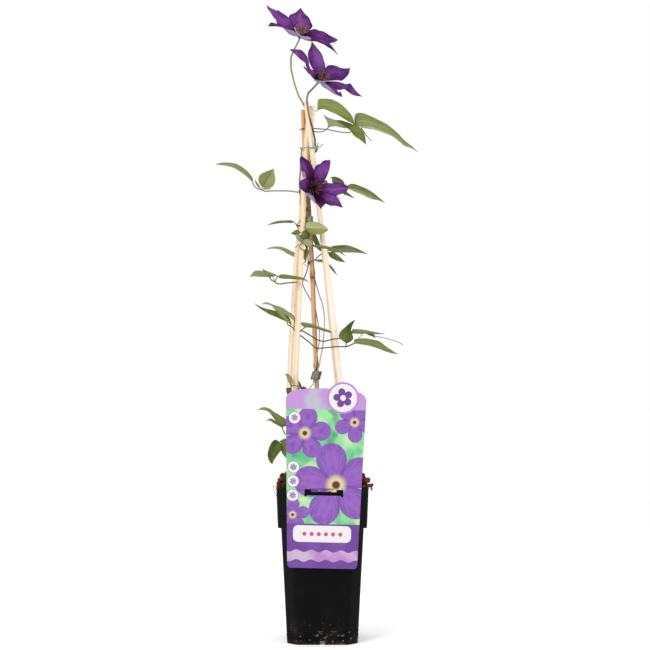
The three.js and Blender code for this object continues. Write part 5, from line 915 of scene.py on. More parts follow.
RIGHT_PETALS = {
    "up": Blade((-4, 672.5), (-13, 719.5), [(-9.5, 682.5), (-13, 688), (-14.5, 691), (-16, 695),
     (-17.5, 700.5), (-17.5, 706.5), (-14.5, 713)], [(3.5, 686.5), (3, 692), (1.5, 697), (-1, 704.5),
     (-8, 713.5)], (-5, 4, 12), (0, 2, 0), 0.8, (0, 0.65, 1), tone=(0, 0.4, 0.15)),
    "up_left": Blade((-4.5, 673), (-40, 710), [(-13, 685), (-16, 690), (-16.5, 695), (-19, 702),
     (-25.5, 709), (-33, 710)], [(-15, 682.5), (-20, 690), (-20.5, 693), (-27, 698), (-30, 701),
     (-36.5, 707)], (-6, -8, -5), (3, 0, -3), 0.7, (0, 0.5, 0.5), tone=(-0.1, 0, 0)),
    "left_small": Blade((-5, 672), (-22.5, 690), [(-8, 682.5), (-15, 686.5), (-19.5, 687.5)], [(-9.5, 674),
     (-13.5, 678), (-17.5, 681.5), (-20.5, 685.5), (-22.5, 688)], (-6.3, -20, -38), (4, 0, -3), 0.5,
     (0, 0.5, 1), tone=(0, -0.1, 0)),
    "right": Blade((-3.5, 672), (33, 687.5), [(4.5, 688.5), (6.5, 690.5), (11.5, 691), (16.5, 690),
     (21, 688), (27, 687)], [(6.5, 672), (19.5, 672.5), (22.5, 672), (25.5, 673.5), (28.5, 676.5),
     (31.5, 680), (32.5, 684)], (-6, 3, 9), (0, 3, -1), 0.8, (0, 0.55, 0.5), tone=(0.1, -0.3, 0),
     folds=[(1, 0.06, 0.3, 0.62, -0.4)]),
    "right_low": Blade((-3.5, 671.5), (48, 653), [(9, 671.5), (18.5, 671), (23.5, 669.5), (28.5, 668),
     (33, 669), (35.5, 666.5), (38, 663), (41.5, 658.5)], [(9, 666), (17.5, 661.5), (21, 661), (26, 662),
     (30.5, 659), (36.5, 655)], (-6.3, -15, -24), (2, 0, -4), 0.8, (0, 0.45, 0.3), tone=(-0.1, -0.15, 0)),
    "low": Blade((-4, 671), (24, 652.5), [(5.5, 669), (12.5, 664), (17, 662), (19, 658.5), (22, 658.5)],
     [(-0.5, 665.5), (6.5, 661), (14, 656), (19.5, 654)], (-6.6, -23, -40), (5, 0, -4), 0.6, (0, 0.2, 0.4),
     folds=[(1, 1.9, 0, 0.86, -0.9, 0.5)]),
    "front_fold": Blade((-13, 678.5), (4, 670.5), [(-10, 675), (-6.5, 673.5), (-2.5, 672.5)],
     [(-10.5, 673.5), (-6.5, 670), (-1.5, 668.5)], (-7.4, -9.6, -10), (0.6, -0.6, 0.6), 0.2, (1, 0.9, 0.2)),
}
FRONT_PETALS = {
    "up_left": Blade((-12, 542.5), (-26, 581.5), [(-18.5, 552.5), (-23, 555.5), (-24.5, 560.5),
     (-25.5, 564.5), (-26.5, 570.5), (-27.5, 578)], [(-10, 556), (-10.5, 565.5), (-11.5, 567), (-12.5, 570),
     (-14.5, 573), (-16.5, 576), (-20, 578), (-23.5, 580.5)], (-17.3, -22, -27), (-2, 1.5, 0), 0.7,
     (0, 0.48, 0.6), tone=(0.1, -0.7, 0), folds=[(-1, 0.5, 0.38, 0.62, -0.8)], dark=0.6),
    "up_right": Blade((-11.5, 542.5), (9, 577), [(-10.5, 556), (-10, 565.5), (-8, 569.5), (-5.5, 571.5),
     (-3, 572), (0, 575), (3, 576.5), (6.5, 576.5)], [(-4, 544), (0.5, 548.5), (3, 553), (4.5, 555.5),
     (6.5, 560), (8, 564.5), (9, 569.5), (9.5, 574)], (-17.3, -20, -20), (0, 2, 0), 0.8, (0, 0.7, 0.8),
     tone=(-0.1, 0.1, 0.05), dark=0.52),
    "left": Blade((-12.5, 541.5), (-28.5, 548.5), [(-15.5, 552), (-20, 554), (-23.5, 553.5), (-26.5, 552)],
     [(-13.5, 538.5), (-16.5, 537), (-21.5, 538), (-24.5, 540.5), (-27, 543.5), (-28.5, 547)],
     (-17.3, -29, -46), (-2, 1, -2), 0.5, (0, 0.5, 0.6), tone=(0.1, 0.1, 0), dark=0.62),
    "right": Blade((-11, 541.5), (31.5, 543), [(-6, 546), (0.5, 548), (8, 549), (11, 548.5), (15, 549.5),
     (21, 549), (26.5, 547.5), (30, 545.5)], [(0.5, 537), (11.5, 533.5), (16.5, 533.5), (20, 535),
     (23.5, 536), (28, 537), (29.5, 539.5)], (-17.3, -20, -20), (0, 2.5, -1), 0.8, (0, 0.65, 1),
     tone=(-0.35, 0, 0.4), dark=0.45),
    "low_right": Blade((-11.5, 541), (24.5, 519.5), [(4, 537.5), (15, 534), (19, 530), (21.5, 526),
     (23, 522.5)], [(-3, 529), (4, 524), (6.5, 523), (10, 521.5), (16.5, 521.5), (21, 520)],
     (-17.3, -25, -32), (0, 2, 0), 0.7, (0, 0.4, 0.7), tone=(0, -0.15, 0.1), dark=0.5),
    "low": Blade((-12, 541), (-2, 518), [(-15, 538.5), (-16, 535.5), (-12, 529.5), (-8.5, 526), (-6, 523),
     (-3.5, 520)], [(-1, 533), (4, 525.5), (3.5, 524), (1, 521.5)], (-17.3, -29, -44), (0, 2.5, 0), 0.6,
     (0, 0.1, 0.3), tone=(-0.4, -0.3, 0), dark=0.9),
    "low_fold": Blade((-15.5, 540), (-7.5, 523), [(-21.5, 538.5), (-20.5, 536), (-16.5, 532), (-13.5, 528.5),
     (-10, 525)], [(-14, 536.5), (-11, 533), (-9, 528.5)], (-18.4, -29, -37), (0.4, -0.8, 0.8), 0.2,
     (1, 0.8, 0)),
}
# Where the core of each bloom lies, what it faces, and its petals.
BLOOMS = {
    "bloom_top": ((-26.5, 725.5, 1), (-25, 734, -5), TOP_PETALS),
    "bloom_right": ((-4, 672, -6), (1, 679, -12), RIGHT_PETALS),
    "bloom_front": ((-12, 542, -17), (-10, 543, -26), FRONT_PETALS),
}


# A nerve: where across the blade it runs, how high it stands and how wide it is.
LEAF = dict(rows=44, columns=20, thickness=0.42, nerves=[
    (0, 0.34, 0.45), (0.36, 0.16, 0.35), (-0.36, 0.16, 0.35), (0.7, 0.08, 0.3), (-0.7, 0.08, 0.3)])
PETAL = dict(rows=52, columns=24, thickness=0.36, nerves=[
    (0, 0.4, 0.6), (0.17, 0.3, 0.45), (-0.17, 0.3, 0.45), (0.5, 0.08, 0.5), (-0.5, 0.08, 0.5)])
STALK_SIDES = 12
STALK_STEP = 1.3
JOINT_BULGE = 0.3
NODE_REACH = 1.6
# how stout each climbing stem is at some heights, as a share of its radius
CLIMBER_GIRTH = {
    "tall": [(424, 0.66), (456, 1.1), (520, 1.0), (545, 0.76)],
    "middle": [(424, 0.66), (440, 0.64), (456, 0.74), (478, 0.78), (492, 1.24), (600, 1.18)],
    "low": [(424, 0.64), (456, 0.9), (478, 0.8), (494, 0.5)],
}
# swollen nodes of the climbing stems: at which height and how much they stand out
NODES = {"tall": [(538.5, 0.7)], "middle": [(452, 0.4), (517, 0.35), (575.5, 0.45)], "low": [(497.5, 0.6)]}
# stalks that are stouter than in the construction
STALK_GIRTH = {("tall", 1): 1.2, ("middle", 1): 1.3}
CLIMB = 450
# how purple, how brown and how pale the stalks are that differ from the rest; brown stalks also get painted
# shade high up
STALK_TONES = {
    ("tall", 1): (0, 0, 0.35), ("tall", 2): (0.9, 0, 0), ("tall", 3): (0.9, 0, 0), ("tall", 4): (0, 1, 0),
    ("tall", 5): (0.7, 0, 0), ("middle", 1): (0, 0.35, 0), ("middle", 3): (0, 0.5, 0),
    ("middle", 4): (0, 0.9, 0), ("low", 3): (0, 0.8, 0), ("low", 7): (0.8, 0, 0),
    ("low", 9): (0, 0.9, 0), ("low", 10): (0, 0.9, 0), ("low", 11): (0, 0.9, 0),
}
FOOT_REACH = 0.1
FOOT_RADIUS = 0.5
FOOT_SIDES = 8
FOOT_STEP = 1.2


def make_leafy_stem(name, stalk_finish, leaf_finish, seed):
    routes = [elevation_route(points) for _, points in STALKS[name]]
    stalks = Piece()
    for number, ((radius, _), route) in enumerate(zip(STALKS[name], routes)):
        joints = [route.nearest(other.places[0]) for other in routes if other is not route]
        joints = [share * route.length for share, gap in joints if gap < 3]
        phase = seed + number
        climber = number == 0
        steps = np.array(CLIMBER_GIRTH[name] if climber else [(0, STALK_GIRTH.get((name, number), 1))])
        swollen = NODES[name] if climber else []

        def width(along, angle):
            height = np.interp(along, route.lengths, route.places[:, 2])
            girth = np.interp(height, steps[:, 0], steps[:, 1])
            wide = radius * (girth + 0.05 * np.cos(6 * angle) + 0.04 * np.sin(along / 9 + phase))
            for joint in joints:
                wide = wide + JOINT_BULGE * radius * bell(along - joint, 1.4 * radius)
            for node, bulge in swollen:
                wide = wide + bulge * radius * bell(height - node, NODE_REACH)
            return wide

        shell, faces, grain = tube_shell(route, width, STALK_SIDES, STALK_STEP)
        joint_nearness = sum(bell(grain[:, 0] - joint, 3) for joint in joints) + 0 * grain[:, 0]
        for node, _ in swollen:
            joint_nearness = joint_nearness + 2 * bell(shell[:, 2] - node, NODE_REACH)
        height = np.clip((shell[:, 2] - RIM_HEIGHT) / CLIMB, 0, 1)
        climbing = np.full(len(shell), float(climber))
        tint = np.stack([height, np.clip(joint_nearness, 0, 1), climbing], axis=1)
        tone = STALK_TONES.get((name, number), (0, 0, 0))
        stalks.add(shell, faces, grain=grain, tint=tint, tone=tone)
    leaves = Piece()
    for number, blade in enumerate(LEAVES[name].values()):
        blade.shells(leaves, seed * 10 + number, **LEAF)
        add_leaf_foot(stalks, blade, routes)
    stalks.make("stalks_" + name, stalk_finish, "leaf", "leafy_stem_" + name)
    leaves.make("leaves_" + name, leaf_finish, "leaf", "leafy_stem_" + name)


def add_leaf_foot(stalks, blade, routes):
    """The foot of a leaf: a short stalk from the nearest place on the stalks into the blade's rib."""
    zero = np.zeros(1)
    base = blade.place(zero, zero)[0]
    places = np.vstack([route.places for route in routes])
    start = places[np.linalg.norm(places - base, axis=1).argmin()]
    ribs = [blade.place(zero + share, zero)[0] for share in (FOOT_REACH / 2, FOOT_REACH)]
    points = [start, base, *ribs] if np.linalg.norm(start - base) > FOOT_RADIUS else [start, *ribs]
    shell, faces, grain = tube_shell(Route(points), FOOT_RADIUS, FOOT_SIDES, FOOT_STEP, ends=(1, 0.3))
    stalks.add(shell, faces, grain=grain, tint=(0.6, 0.3, 0), tone=(0, 0.2, 0))


# ---- blooms ----
CORE_RADIUS = 4.2
CORE_HEIGHT = 1.8
GOLDEN_TURN = math.pi * (3 - math.sqrt(5))
STAMENS = 56
STAMEN_LENGTH = 14.2
STAMEN_LEAN = (0.34, 1.02)
STYLES = 34
STYLE_LENGTH = 8.5
STYLE_LEAN = 0.55
STAMEN_START = 1.9
STYLE_START = 0.4
STAMEN_POINTS = 8
STAMEN_SIDES = 6
STAMEN_RINGS = 11
# how long the stamens of each bloom are, how pale, how wildly they stand and how olive they are
TUFTS = {
    "bloom_top": (1.0, 0.85, 0.22, 0.0),
    "bloom_right": (1.0, 0.5, 0.22, 0.2),
    "bloom_front": (1.0, 0.2, 0.8, 1.0),
}


def aim_of(core, heart):
    place = sight(*(np.array(v, float) for v in core))
    aim = sight(*(np.array(v, float) for v in heart)) - place
    turn = Vector((0, 0, 1)).rotation_difference(Vector(aim)).to_matrix()
    return place, np.array(turn)


def make_petals(name, petal_finish, seed):
    core, heart, blades = BLOOMS[name]
    place, turn = aim_of(core, heart)
    petals = Piece()
    for number, blade in enumerate(blades.values()):
        blade.shells(petals, seed * 10 + number, **PETAL)
    ball = BALL_POINTS * (CORE_RADIUS, CORE_RADIUS, CORE_HEIGHT)
    petals.add(ball @ turn.T + place, BALL_FACES, place=(0.02, 0, 0), tint=(0.3, 0.5, 0.45))
    petals.make(name + "_tepals", petal_finish, "petal", name + "_petals")


def make_stamens(name, finish, seed):
    """Bowed pale stamens, apart from each other, round a dark tuft of short styles."""
    core, heart, _ = BLOOMS[name]
    stretch, paleness, wildness, olive = TUFTS[name]
    place, turn = aim_of(core, heart)
    draw = np.random.default_rng(seed)
    tuft = Piece()
    for number in range(STAMENS + STYLES):
        outer = number >= STYLES
        if outer:
            share = (number - STYLES + 0.5) / STAMENS
            lean = STAMEN_LEAN[0] + (STAMEN_LEAN[1] - STAMEN_LEAN[0]) * share
            length = STAMEN_LENGTH * stretch * (1 - 0.16 * share)
        else:
            lean = STYLE_LEAN * math.sqrt((number + 0.5) / STYLES)
            length = STYLE_LENGTH
        lean += wildness * (draw.random() - 0.5)
        length *= 0.85 + 0.3 * draw.random()
        around = number * GOLDEN_TURN
        s = np.linspace(0, 1, STAMEN_POINTS)
        bow = lean * (0.25 + s) if outer else lean * (1.3 - 0.8 * s)
        reach = np.cumsum(np.sin(bow)) / STAMEN_POINTS * length
        rise = np.cumsum(np.cos(bow)) / STAMEN_POINTS * length
        swing = around + 0.5 * (draw.random() - 0.5) * s
        out = np.stack([np.cos(swing), np.sin(swing), 0 * s], axis=1)
        start = STAMEN_START if outer else STYLE_START
        points = out * (start + reach)[:, None] + np.array([0, 0, 1]) * (CORE_HEIGHT - 0.4 + rise)[:, None]
        route = Route(points @ turn.T + place)
        slim, swollen = (0.15 + 0.06 * draw.random(), 0.1) if outer else (0.28, 0.05)

        def width(along, angle):
            far = along / route.length
            return slim + swollen * between(far, 0.5, 0.75) * (1 - between(far, 0.9, 1.05)) + 0 * angle

        shell, faces, grain = tube_shell(
            route, width, STAMEN_SIDES, route.length / STAMEN_RINGS, ends=(1, 0.5))
        kind = np.broadcast_to((float(outer), draw.random(), paleness), (len(shell), 3))
        tuft.add(shell, faces, grain=grain / np.array([route.length, 1, 1]), tint=kind, tone=(olive, 0, 0))
    tuft.make(name + "_tuft", finish, "stamen", name + "_stamens")


def leaf_finish():
    finish = Finish("clematis_leaf", roughness=0.55, gloss=0.1)
    t, c, under = finish.attribute("place")
    along, across, tag = finish.attribute("grain")
    pale, yellow, _ = finish.attribute("tint")
    side_one, side_two, rib = finish.attribute("tone")
    grain_place = finish.vector(along, across, tag)
    mottle = finish.noise(grain_place, 0.16, 4, 0.55)
    streaks = finish.noise(finish.vector(along * 0.05, across * 1.2, tag), 1.0, 3, 0.6)
    deep = mix(yellow, paint(58, 74, 30), paint(82, 106, 26))
    light = mix(yellow, paint(152, 158, 104), paint(158, 166, 78))
    face = mix((pale + (mottle - 0.5) * 0.7 + (streaks - 0.5) * 0.45).ramp(0, 1), deep, light)
    belly_deep = mix(yellow, paint(112, 122, 82), paint(134, 138, 70))
    belly_light = mix(yellow, paint(190, 196, 172), paint(194, 196, 134))
    belly = mix((pale + (mottle - 0.5) * 0.5).ramp(0, 1), belly_deep, belly_light)
    # painted light and shade: each half of the blade paler or darker by its tone, partly its own colour
    side = c.ramp(-0.1, 0.1)
    painted_light_and_tone = side_one * (1 - side) + side_two * side
    nerves = nerve_lines(c, t, [0, 0.36, -0.36, 0.7, -0.7], 0.035)
    net = finish.cells(finish.vector(along * 0.7, across * 1.5, tag), 0.55, "DISTANCE_TO_EDGE")
    veins = nerves.most(net.ramp(0.0, 0.09, 0.45, 0))
    midrib = abs(c).ramp(0.02, 0.09, 1, 0) * t.ramp(0.75, 1.0, 1, 0)
    rim = abs(c).ramp(0.9, 1.0)
    tip = t.ramp(0.93, 1.0) + t.ramp(0.0, 0.06, 0.6, 0)
    colour = over(
        mix(under, face, belly),
        (painted_light_and_tone.most(0) * 0.8, paint(204, 210, 160)),
        ((-painted_light_and_tone).most(0) * 0.85, paint(40, 52, 20)),
        (veins * 0.35, mix(under, paint(164, 170, 100), paint(206, 208, 160))),
        (midrib * rib.most(0) * 0.8, paint(206, 210, 156)),
        (midrib * (-rib).most(0) * 0.8, paint(34, 42, 18)),
        (rim * t.ramp(0.8, 0.95, 0.4, 0.9), mix(yellow, paint(66, 72, 34), paint(96, 96, 38))),
        (tip * 0.55, paint(88, 76, 52)))
    finish.feed("Base Color", colour)
    finish.feed("Roughness", 0.5 + under * 0.25 + mottle * 0.1)
    finish.bump(mottle * 0.6 + veins * (0.8 - under * 1.6), 0.5, 0.3)
    return finish


def nerve_lines(c, t, places, width):
    """How near each point is to a nerve: 1 on it, 0 beside it, fading towards the tip."""
    nearest = abs(c - places[0])
    for place in places[1:]:
        nearest = nearest.least(abs(c - place))
    return nearest.ramp(0, width, 1, 0) * t.ramp(0.75, 1.0, 1, 0)


def petal_finish():
    finish = Finish("clematis_petal", roughness=0.65, gloss=0.05)
    t, c, under = finish.attribute("place")
    along, across, tag = finish.attribute("grain")
    pale, warm, dark = finish.attribute("tint")
    side_one, side_two, rib = finish.attribute("tone")
    fibres = finish.noise(finish.vector(along * 0.03, across * 1.6, tag), 1.0, 4, 0.65)
    clouds = finish.noise(finish.vector(along, across, tag), 0.09, 3, 0.5)
    violet = mix(clouds.ramp(0.32, 0.68), paint(90, 40, 120), paint(147, 85, 182))
    violet = mix(fibres.ramp(0.4, 0.75, 0, 0.65), violet, paint(74, 28, 100))
    bar = abs(c).ramp(0.0, 0.42, 1, 0)
    red = mix(fibres, paint(112, 44, 120), paint(150, 78, 156))
    ribs = nerve_lines(c, t, [0, 0.17, -0.17], 0.035)
    # painted light and shade: each half of the petal paler or darker by its tone and paleness, partly its own
    # colour
    side = c.ramp(-0.15, 0.15)
    painted_light_and_tone = side_one * (1 - side) + side_two * side + (pale - 0.6) * 0.8
    inner = (t + (fibres - 0.5) * 0.12 - dark).ramp(0, -0.36)
    reddish = (t + (fibres - 0.5) * 0.3 - dark).ramp(0.12, -0.15) * dark.ramp(0.3, 0.5)
    rim = (abs(c) + (clouds - 0.5) * 0.1).ramp(0.78, 0.96).most(t.ramp(0.92, 0.99))
    colour = over(
        mix(bar * (0.3 + warm * 0.6), violet, red),
        (ribs * 0.4, paint(158, 96, 180)),
        (painted_light_and_tone.most(0).least(1) * 0.6, paint(172, 112, 204)),
        ((-painted_light_and_tone).most(0).least(1) * 0.85, paint(52, 16, 58)),
        (bar * rib.most(0) * 0.7, paint(178, 128, 198)),
        (reddish * 0.35, paint(104, 34, 92)),
        (inner * 0.94, paint(42, 10, 36)),
        (rim * 0.75, paint(76, 20, 80)))
    belly = over(
        mix(fibres, paint(150, 122, 178), paint(192, 168, 214)),
        (abs(c).ramp(0.1, 0.5, 0.45, 0), paint(206, 192, 200)),
        (t.ramp(0.02, 0.3, 0.5, 0), paint(186, 174, 178)),
        ((-painted_light_and_tone).most(0).least(1) * 0.6, paint(110, 88, 130)),
        (abs(c).ramp(0.86, 1.0) * 0.5, paint(96, 64, 122)))
    finish.feed("Base Color", mix(under, colour, belly))
    finish.feed("Roughness", 0.6 + fibres * 0.2)
    finish.bump(fibres + ribs * 0.6, 0.45, 0.35)
    return finish


def stamen_finish():
    finish = Finish("stamens", roughness=0.65, gloss=0.1)
    share, _, _ = finish.attribute("grain")
    outer, chance, paleness = finish.attribute("tint")
    olive, _, _ = finish.attribute("tone")
    brightness = (paleness + (chance - 0.5) * 0.7).ramp(0, 1)
    stalk = mix(brightness, paint(84, 36, 52), paint(206, 168, 176))
    anther = mix(brightness, paint(100, 48, 62), paint(178, 132, 136))
    dusky = mix(chance, paint(96, 34, 48), paint(136, 98, 84))
    style = mix(share.ramp(0.3, 0.9), paint(66, 10, 22), paint(128, 30, 40))
    style = mix(olive * 0.6, style, paint(70, 30, 40))
    stamen = over(
        mix(share.ramp(0.5, 0.72), stalk, anther),
        (share.ramp(0.25, 0.0), paint(74, 22, 40)),
        (olive * share.ramp(0.15, 0.5, 0, 0.8), dusky))
    finish.feed("Base Color", mix(outer, style, stamen))
    return finish


def stalk_finish():
    finish = Finish("green_stalk", roughness=0.55, gloss=0.15)
    along, angle, _ = finish.attribute("grain")
    height, joint, climbing = finish.attribute("tint")
    purple, brownness, paleness = finish.attribute("tone")
    fibres = finish.noise(finish.vector(angle.sine() * 2, 3, along * 0.05), 2.0, 4, 0.6)
    green = mix(fibres, paint(126, 124, 62), paint(172, 170, 100))
    brown = mix(fibres, paint(150, 116, 88), paint(196, 166, 136))
    bleached = mix(fibres, paint(214, 192, 172), paint(240, 226, 212))
    lowest = height.ramp(0.58, 0.44, 0, 0.8).most(height.ramp(0.3, 0.15)) * height.ramp(0.05, 0.12)
    woody = climbing * height.ramp(0.3, 0.75, 0.9, 0.1)
    blush = finish.noise(None, 28, 2, 0.5)
    creamy = climbing * height.ramp(0.56, 0.6) * height.ramp(0.67, 0.63)
    rosy = climbing * height.ramp(0.27, 0.31) * height.ramp(0.46, 0.4)
    # painted shade: the brown stalks darker near the top of the climb
    shady = (brownness * 2.6).least(1) * height.ramp(0.87, 0.9) * height.ramp(0.99, 0.96)
    colour = over(
        mix(woody.most(blush.ramp(0.5, 0.65, 0, 0.45)), green, brown),
        (creamy * 0.6, mix(fibres, paint(176, 174, 118), paint(216, 214, 172))),
        (climbing * lowest * 0.8, bleached),
        (rosy * 0.6, mix(fibres, paint(226, 170, 152), paint(250, 206, 192))),
        (purple, mix(fibres, paint(134, 112, 122), paint(184, 162, 168))),
        (brownness, mix(fibres, paint(84, 66, 46), paint(122, 100, 70))),
        (shady * 0.8, paint(58, 40, 30)),
        (paleness, mix(fibres, paint(152, 168, 92), paint(186, 196, 132))),
        (joint * (0.35 + climbing * 0.35), paint(92, 78, 44)))
    finish.feed("Base Color", colour)
    finish.bump(fibres, 0.3, 0.2)
    return finish


# ---- tendrils and dry bits ----
THREAD_SIDES = 7
# Fine threads too slim for the construction, each with its radius, on the stem that bears them.
TALL_TENDRILS = [
    (0.45, [(46.5, 617, -16), (47.5, 614.5, -18), (52.5, 607, -22), (56, 602.5, -25), (59.5, 599, -28)]),
    (0.4, [(-5, 637.5, -8), (-6.5, 636.5, -8.4), (-9, 635, -9)]),
]
MIDDLE_TENDRILS = [
    (0.4, [(15, 534.5, 10), (18.5, 532, 11), (21, 529, 12)]),
    (0.35, [(-17, 450, 0.2), (-16, 451.5, -2.6), (-15, 453.5, -3.2)]),
    (0.35, [(-17.5, 448, 0.8), (-20.5, 450, 0), (-22.5, 451.5, -2), (-21.5, 454, -3), (-20.5, 454, -3.4)]),
]
LOW_TENDRILS = [
    (0.45, [(-31.5, 498.5, -6), (-29.5, 500.5, -12), (-26.5, 504.5, -15)]),
    (0.35, [(-31.5, 498, -2), (-29, 498, -12), (-26.5, 497.5, -15)]),
    (0.4, [(-58.5, 431, -18), (-62, 433, -22), (-62.5, 435.5, -27), (-61.5, 437, -28.5), (-60, 436.5, -28),
     (-59.5, 434.5, -25), (-58, 432.5, -22), (-56.5, 430.5, -18.4)]),
    (0.4, [(58.5, 366, 6), (64.5, 364.5, 8), (74, 362.5, 10), (83.5, 360, 12), (92, 357, 14),
     (97.5, 353.5, 15)]),
    (0.45, [(-30, 497.5, -2), (-30, 495.5, -4), (-29.5, 494, -5), (-27, 494, -5)]),
    (0.4, [(-27, 476.5, -2), (-29, 475.5, -4), (-30.5, 473, -5), (-33.5, 470.5, -6)]),
    (0.5, [(-36.5, 306, -6.6), (-38.5, 302, -8), (-42, 298, -9), (-43, 300.5, -9.5)]),
]
TENDRILS = {"tall": TALL_TENDRILS, "middle": MIDDLE_TENDRILS, "low": LOW_TENDRILS}


def add_tendrils(finish):
    for name, threads in TENDRILS.items():
        piece = Piece()
        for radius, points in threads:
            route = elevation_route(points)
            shell, faces, grain = tube_shell(route, radius, THREAD_SIDES, 1, ends=(1, 0.3))
            piece.add(shell, faces, grain=grain, tone=(0, 0.8, 0))
        piece.make("tendrils_" + name, finish, "leaf")


# ---- pot ----
CORNER_SOFTNESS = 2.4
CORNER_POINTS = 5
SIDE_POINTS = 3
POT_RIDGE_HEIGHT = 10
POT_RIDGE = 0.3
BEAD = 0.4
LIP_HEIGHT = 2.4
DRAIN_SIDES = 28
SHARP_DEGREES = 38


def at_height(flat, height):
    return np.column_stack([flat, np.full(len(flat), float(height))])


def circle(angles, radius):
    return radius * np.column_stack([np.cos(angles), np.sin(angles)])


def stepped(start, end, length):
    return start + (end - start) / np.linalg.norm(end - start) * length


def cut_square(half, corner, height):
    """A level ring: a square with cut corners, each of its eight corners rounded off."""
    inner = half - corner
    corners = np.array([(half, -inner), (half, inner), (inner, half), (-inner, half),
                        (-half, inner), (-half, -inner), (-inner, -half), (inner, -half)], float)
    ring = []
    for k in range(len(corners)):
        here, before, after = corners[k], corners[k - 1], corners[(k + 1) % len(corners)]
        start, end = stepped(here, before, CORNER_SOFTNESS), stepped(here, after, CORNER_SOFTNESS)
        for s in np.linspace(0, 1, CORNER_POINTS):
            ring.append((1 - s) ** 2 * start + 2 * s * (1 - s) * here + s * s * end)
        leave = stepped(after, here, CORNER_SOFTNESS)
        for s in np.arange(1, SIDE_POINTS + 1) / (SIDE_POINTS + 1):
            ring.append(end + (leave - end) * s)
    return at_height(np.array(ring), height)


def round_ring(like, radius, height):
    return at_height(circle(np.arctan2(like[:, 1], like[:, 0]), radius), height)


def loft_shell(rings):
    count = len(rings[0])
    points = np.vstack([*rings, rings[0].mean(0, keepdims=True), rings[-1].mean(0, keepdims=True)])
    faces = grid_faces(len(rings), count, closed=True)
    bottom, top = len(points) - 2, len(points) - 1
    last = (len(rings) - 1) * count
    faces += [(bottom, (i + 1) % count, i) for i in range(count)]
    faces += [(top, last + i, last + (i + 1) % count) for i in range(count)]
    return points, faces


def body_half(height):
    return BASE_HALF + (BODY_TOP_HALF - BASE_HALF) * height / COLLAR_FOOT_HEIGHT


def collar_half(height):
    share = (height - COLLAR_FOOT_HEIGHT) / (RIM_HEIGHT - COLLAR_FOOT_HEIGHT)
    return COLLAR_FOOT_HALF + (RIM_HALF - BEAD - COLLAR_FOOT_HALF) * share


def pot_rings():
    """Level rings of the pot's skin: from the pad under its base, up outside and down inside."""
    skirt, ridge, lip = BASE_HALF - FOOT_WIDTH, POT_RIDGE_HEIGHT, RIM_HEIGHT - LIP_HEIGHT
    foot = (BASE_HALF - 0.4, 0)
    pad = [(PAD_RADIUS - 0.3, 0), (PAD_RADIUS, 0.4), (PAD_RADIUS, FOOT_HEIGHT)]
    outside = [(skirt, FOOT_HEIGHT), (skirt, 0.3), (skirt + 0.3, 0), foot]
    outside += [(body_half(z), z) for z in (0.5, ridge - 0.8)]
    outside += [(body_half(z) + POT_RIDGE, z) for z in (ridge - 0.3, ridge + 0.3)]
    outside += [(body_half(z), z) for z in (ridge + 0.8, 40, 75, 110, COLLAR_FOOT_HEIGHT - 1.2)]
    outside += [(BODY_TOP_HALF + 0.4, COLLAR_FOOT_HEIGHT), (COLLAR_FOOT_HALF - 0.5, COLLAR_FOOT_HEIGHT)]
    outside += [(collar_half(z), z) for z in (COLLAR_FOOT_HEIGHT + 0.5, 155, 170, lip)]
    outside += [(RIM_HALF - 0.1, lip + 0.5), (RIM_HALF, RIM_HEIGHT - 0.9),
                (RIM_HALF - 0.25, RIM_HEIGHT - 0.25), (RIM_HALF - 0.7, RIM_HEIGHT)]
    inside = [(RIM_HALF - WALL + 0.3, RIM_HEIGHT), (RIM_HALF - WALL, RIM_HEIGHT - 0.4),
              (COLLAR_FOOT_HALF - WALL, COLLAR_FOOT_HEIGHT + WALL),
              (BODY_TOP_HALF - WALL, COLLAR_FOOT_HEIGHT + WALL), (BASE_HALF - WALL, FOOT_HEIGHT + FLOOR)]
    return ([round_ring(cut_square(foot[0], CORNER_CUT, 0), radius, z) for radius, z in pad]
            + [cut_square(half, CORNER_CUT, z) for half, z in outside]
            + [cut_square(half, CORNER_CUT - 1, z) for half, z in inside])


def box_shell(low, high):
    points = [(x, y, z) for x in (low[0], high[0]) for y in (low[1], high[1]) for z in (low[2], high[2])]
    faces = [(0, 1, 3, 2), (4, 6, 7, 5), (0, 4, 5, 1), (2, 3, 7, 6), (0, 2, 6, 4), (1, 5, 7, 3)]
    return points, faces


def pot_cutters():
    cutters = Piece()
    reach, wide = 1.2 * BASE_HALF, NOTCH_WIDTH / 2
    inner = BASE_HALF - FOOT_WIDTH - 0.5
    for sign in (-1, 1):
        low, high = sorted((sign * inner, sign * reach))
        cutters.add(*box_shell((-wide, low, -1), (wide, high, NOTCH_HEIGHT)))
        cutters.add(*box_shell((low, -wide, -1), (high, wide, NOTCH_HEIGHT)))
    hole = circle(np.arange(DRAIN_SIDES) * 2 * math.pi / DRAIN_SIDES, DRAIN_RADIUS)
    for x in (-DRAIN_SPACING, DRAIN_SPACING):
        for y in (-DRAIN_SPACING, DRAIN_SPACING):
            cutters.add(*loft_shell([at_height(hole + (x, y), z) for z in (1, 9)]))
    return cutters


def make_pot(finish):
    whole = Piece()
    whole.add(*loft_shell(pot_rings()))
    pot = add_object("pot_whole", whole.mesh("pot_whole"))
    cutters = add_object("pot_cutters", pot_cutters().mesh("pot_cutters"))
    cut = pot.modifiers.new("cut", "BOOLEAN")
    cut.operation = "DIFFERENCE"
    cut.solver = "EXACT"
    cut.object = cutters
    mesh = bpy.data.meshes.new_from_object(pot.evaluated_get(bpy.context.evaluated_depsgraph_get()))
    for scratch in (pot, cutters):
        bpy.data.objects.remove(scratch)
    mesh.name = "pot_moulded"
    mesh.shade_smooth()
    mesh.set_sharp_from_angle(angle=math.radians(SHARP_DEGREES))
    mesh.materials.clear()
    mesh.materials.append(finish.material)
    settle("pot_moulded", mesh, "pot", "pot")


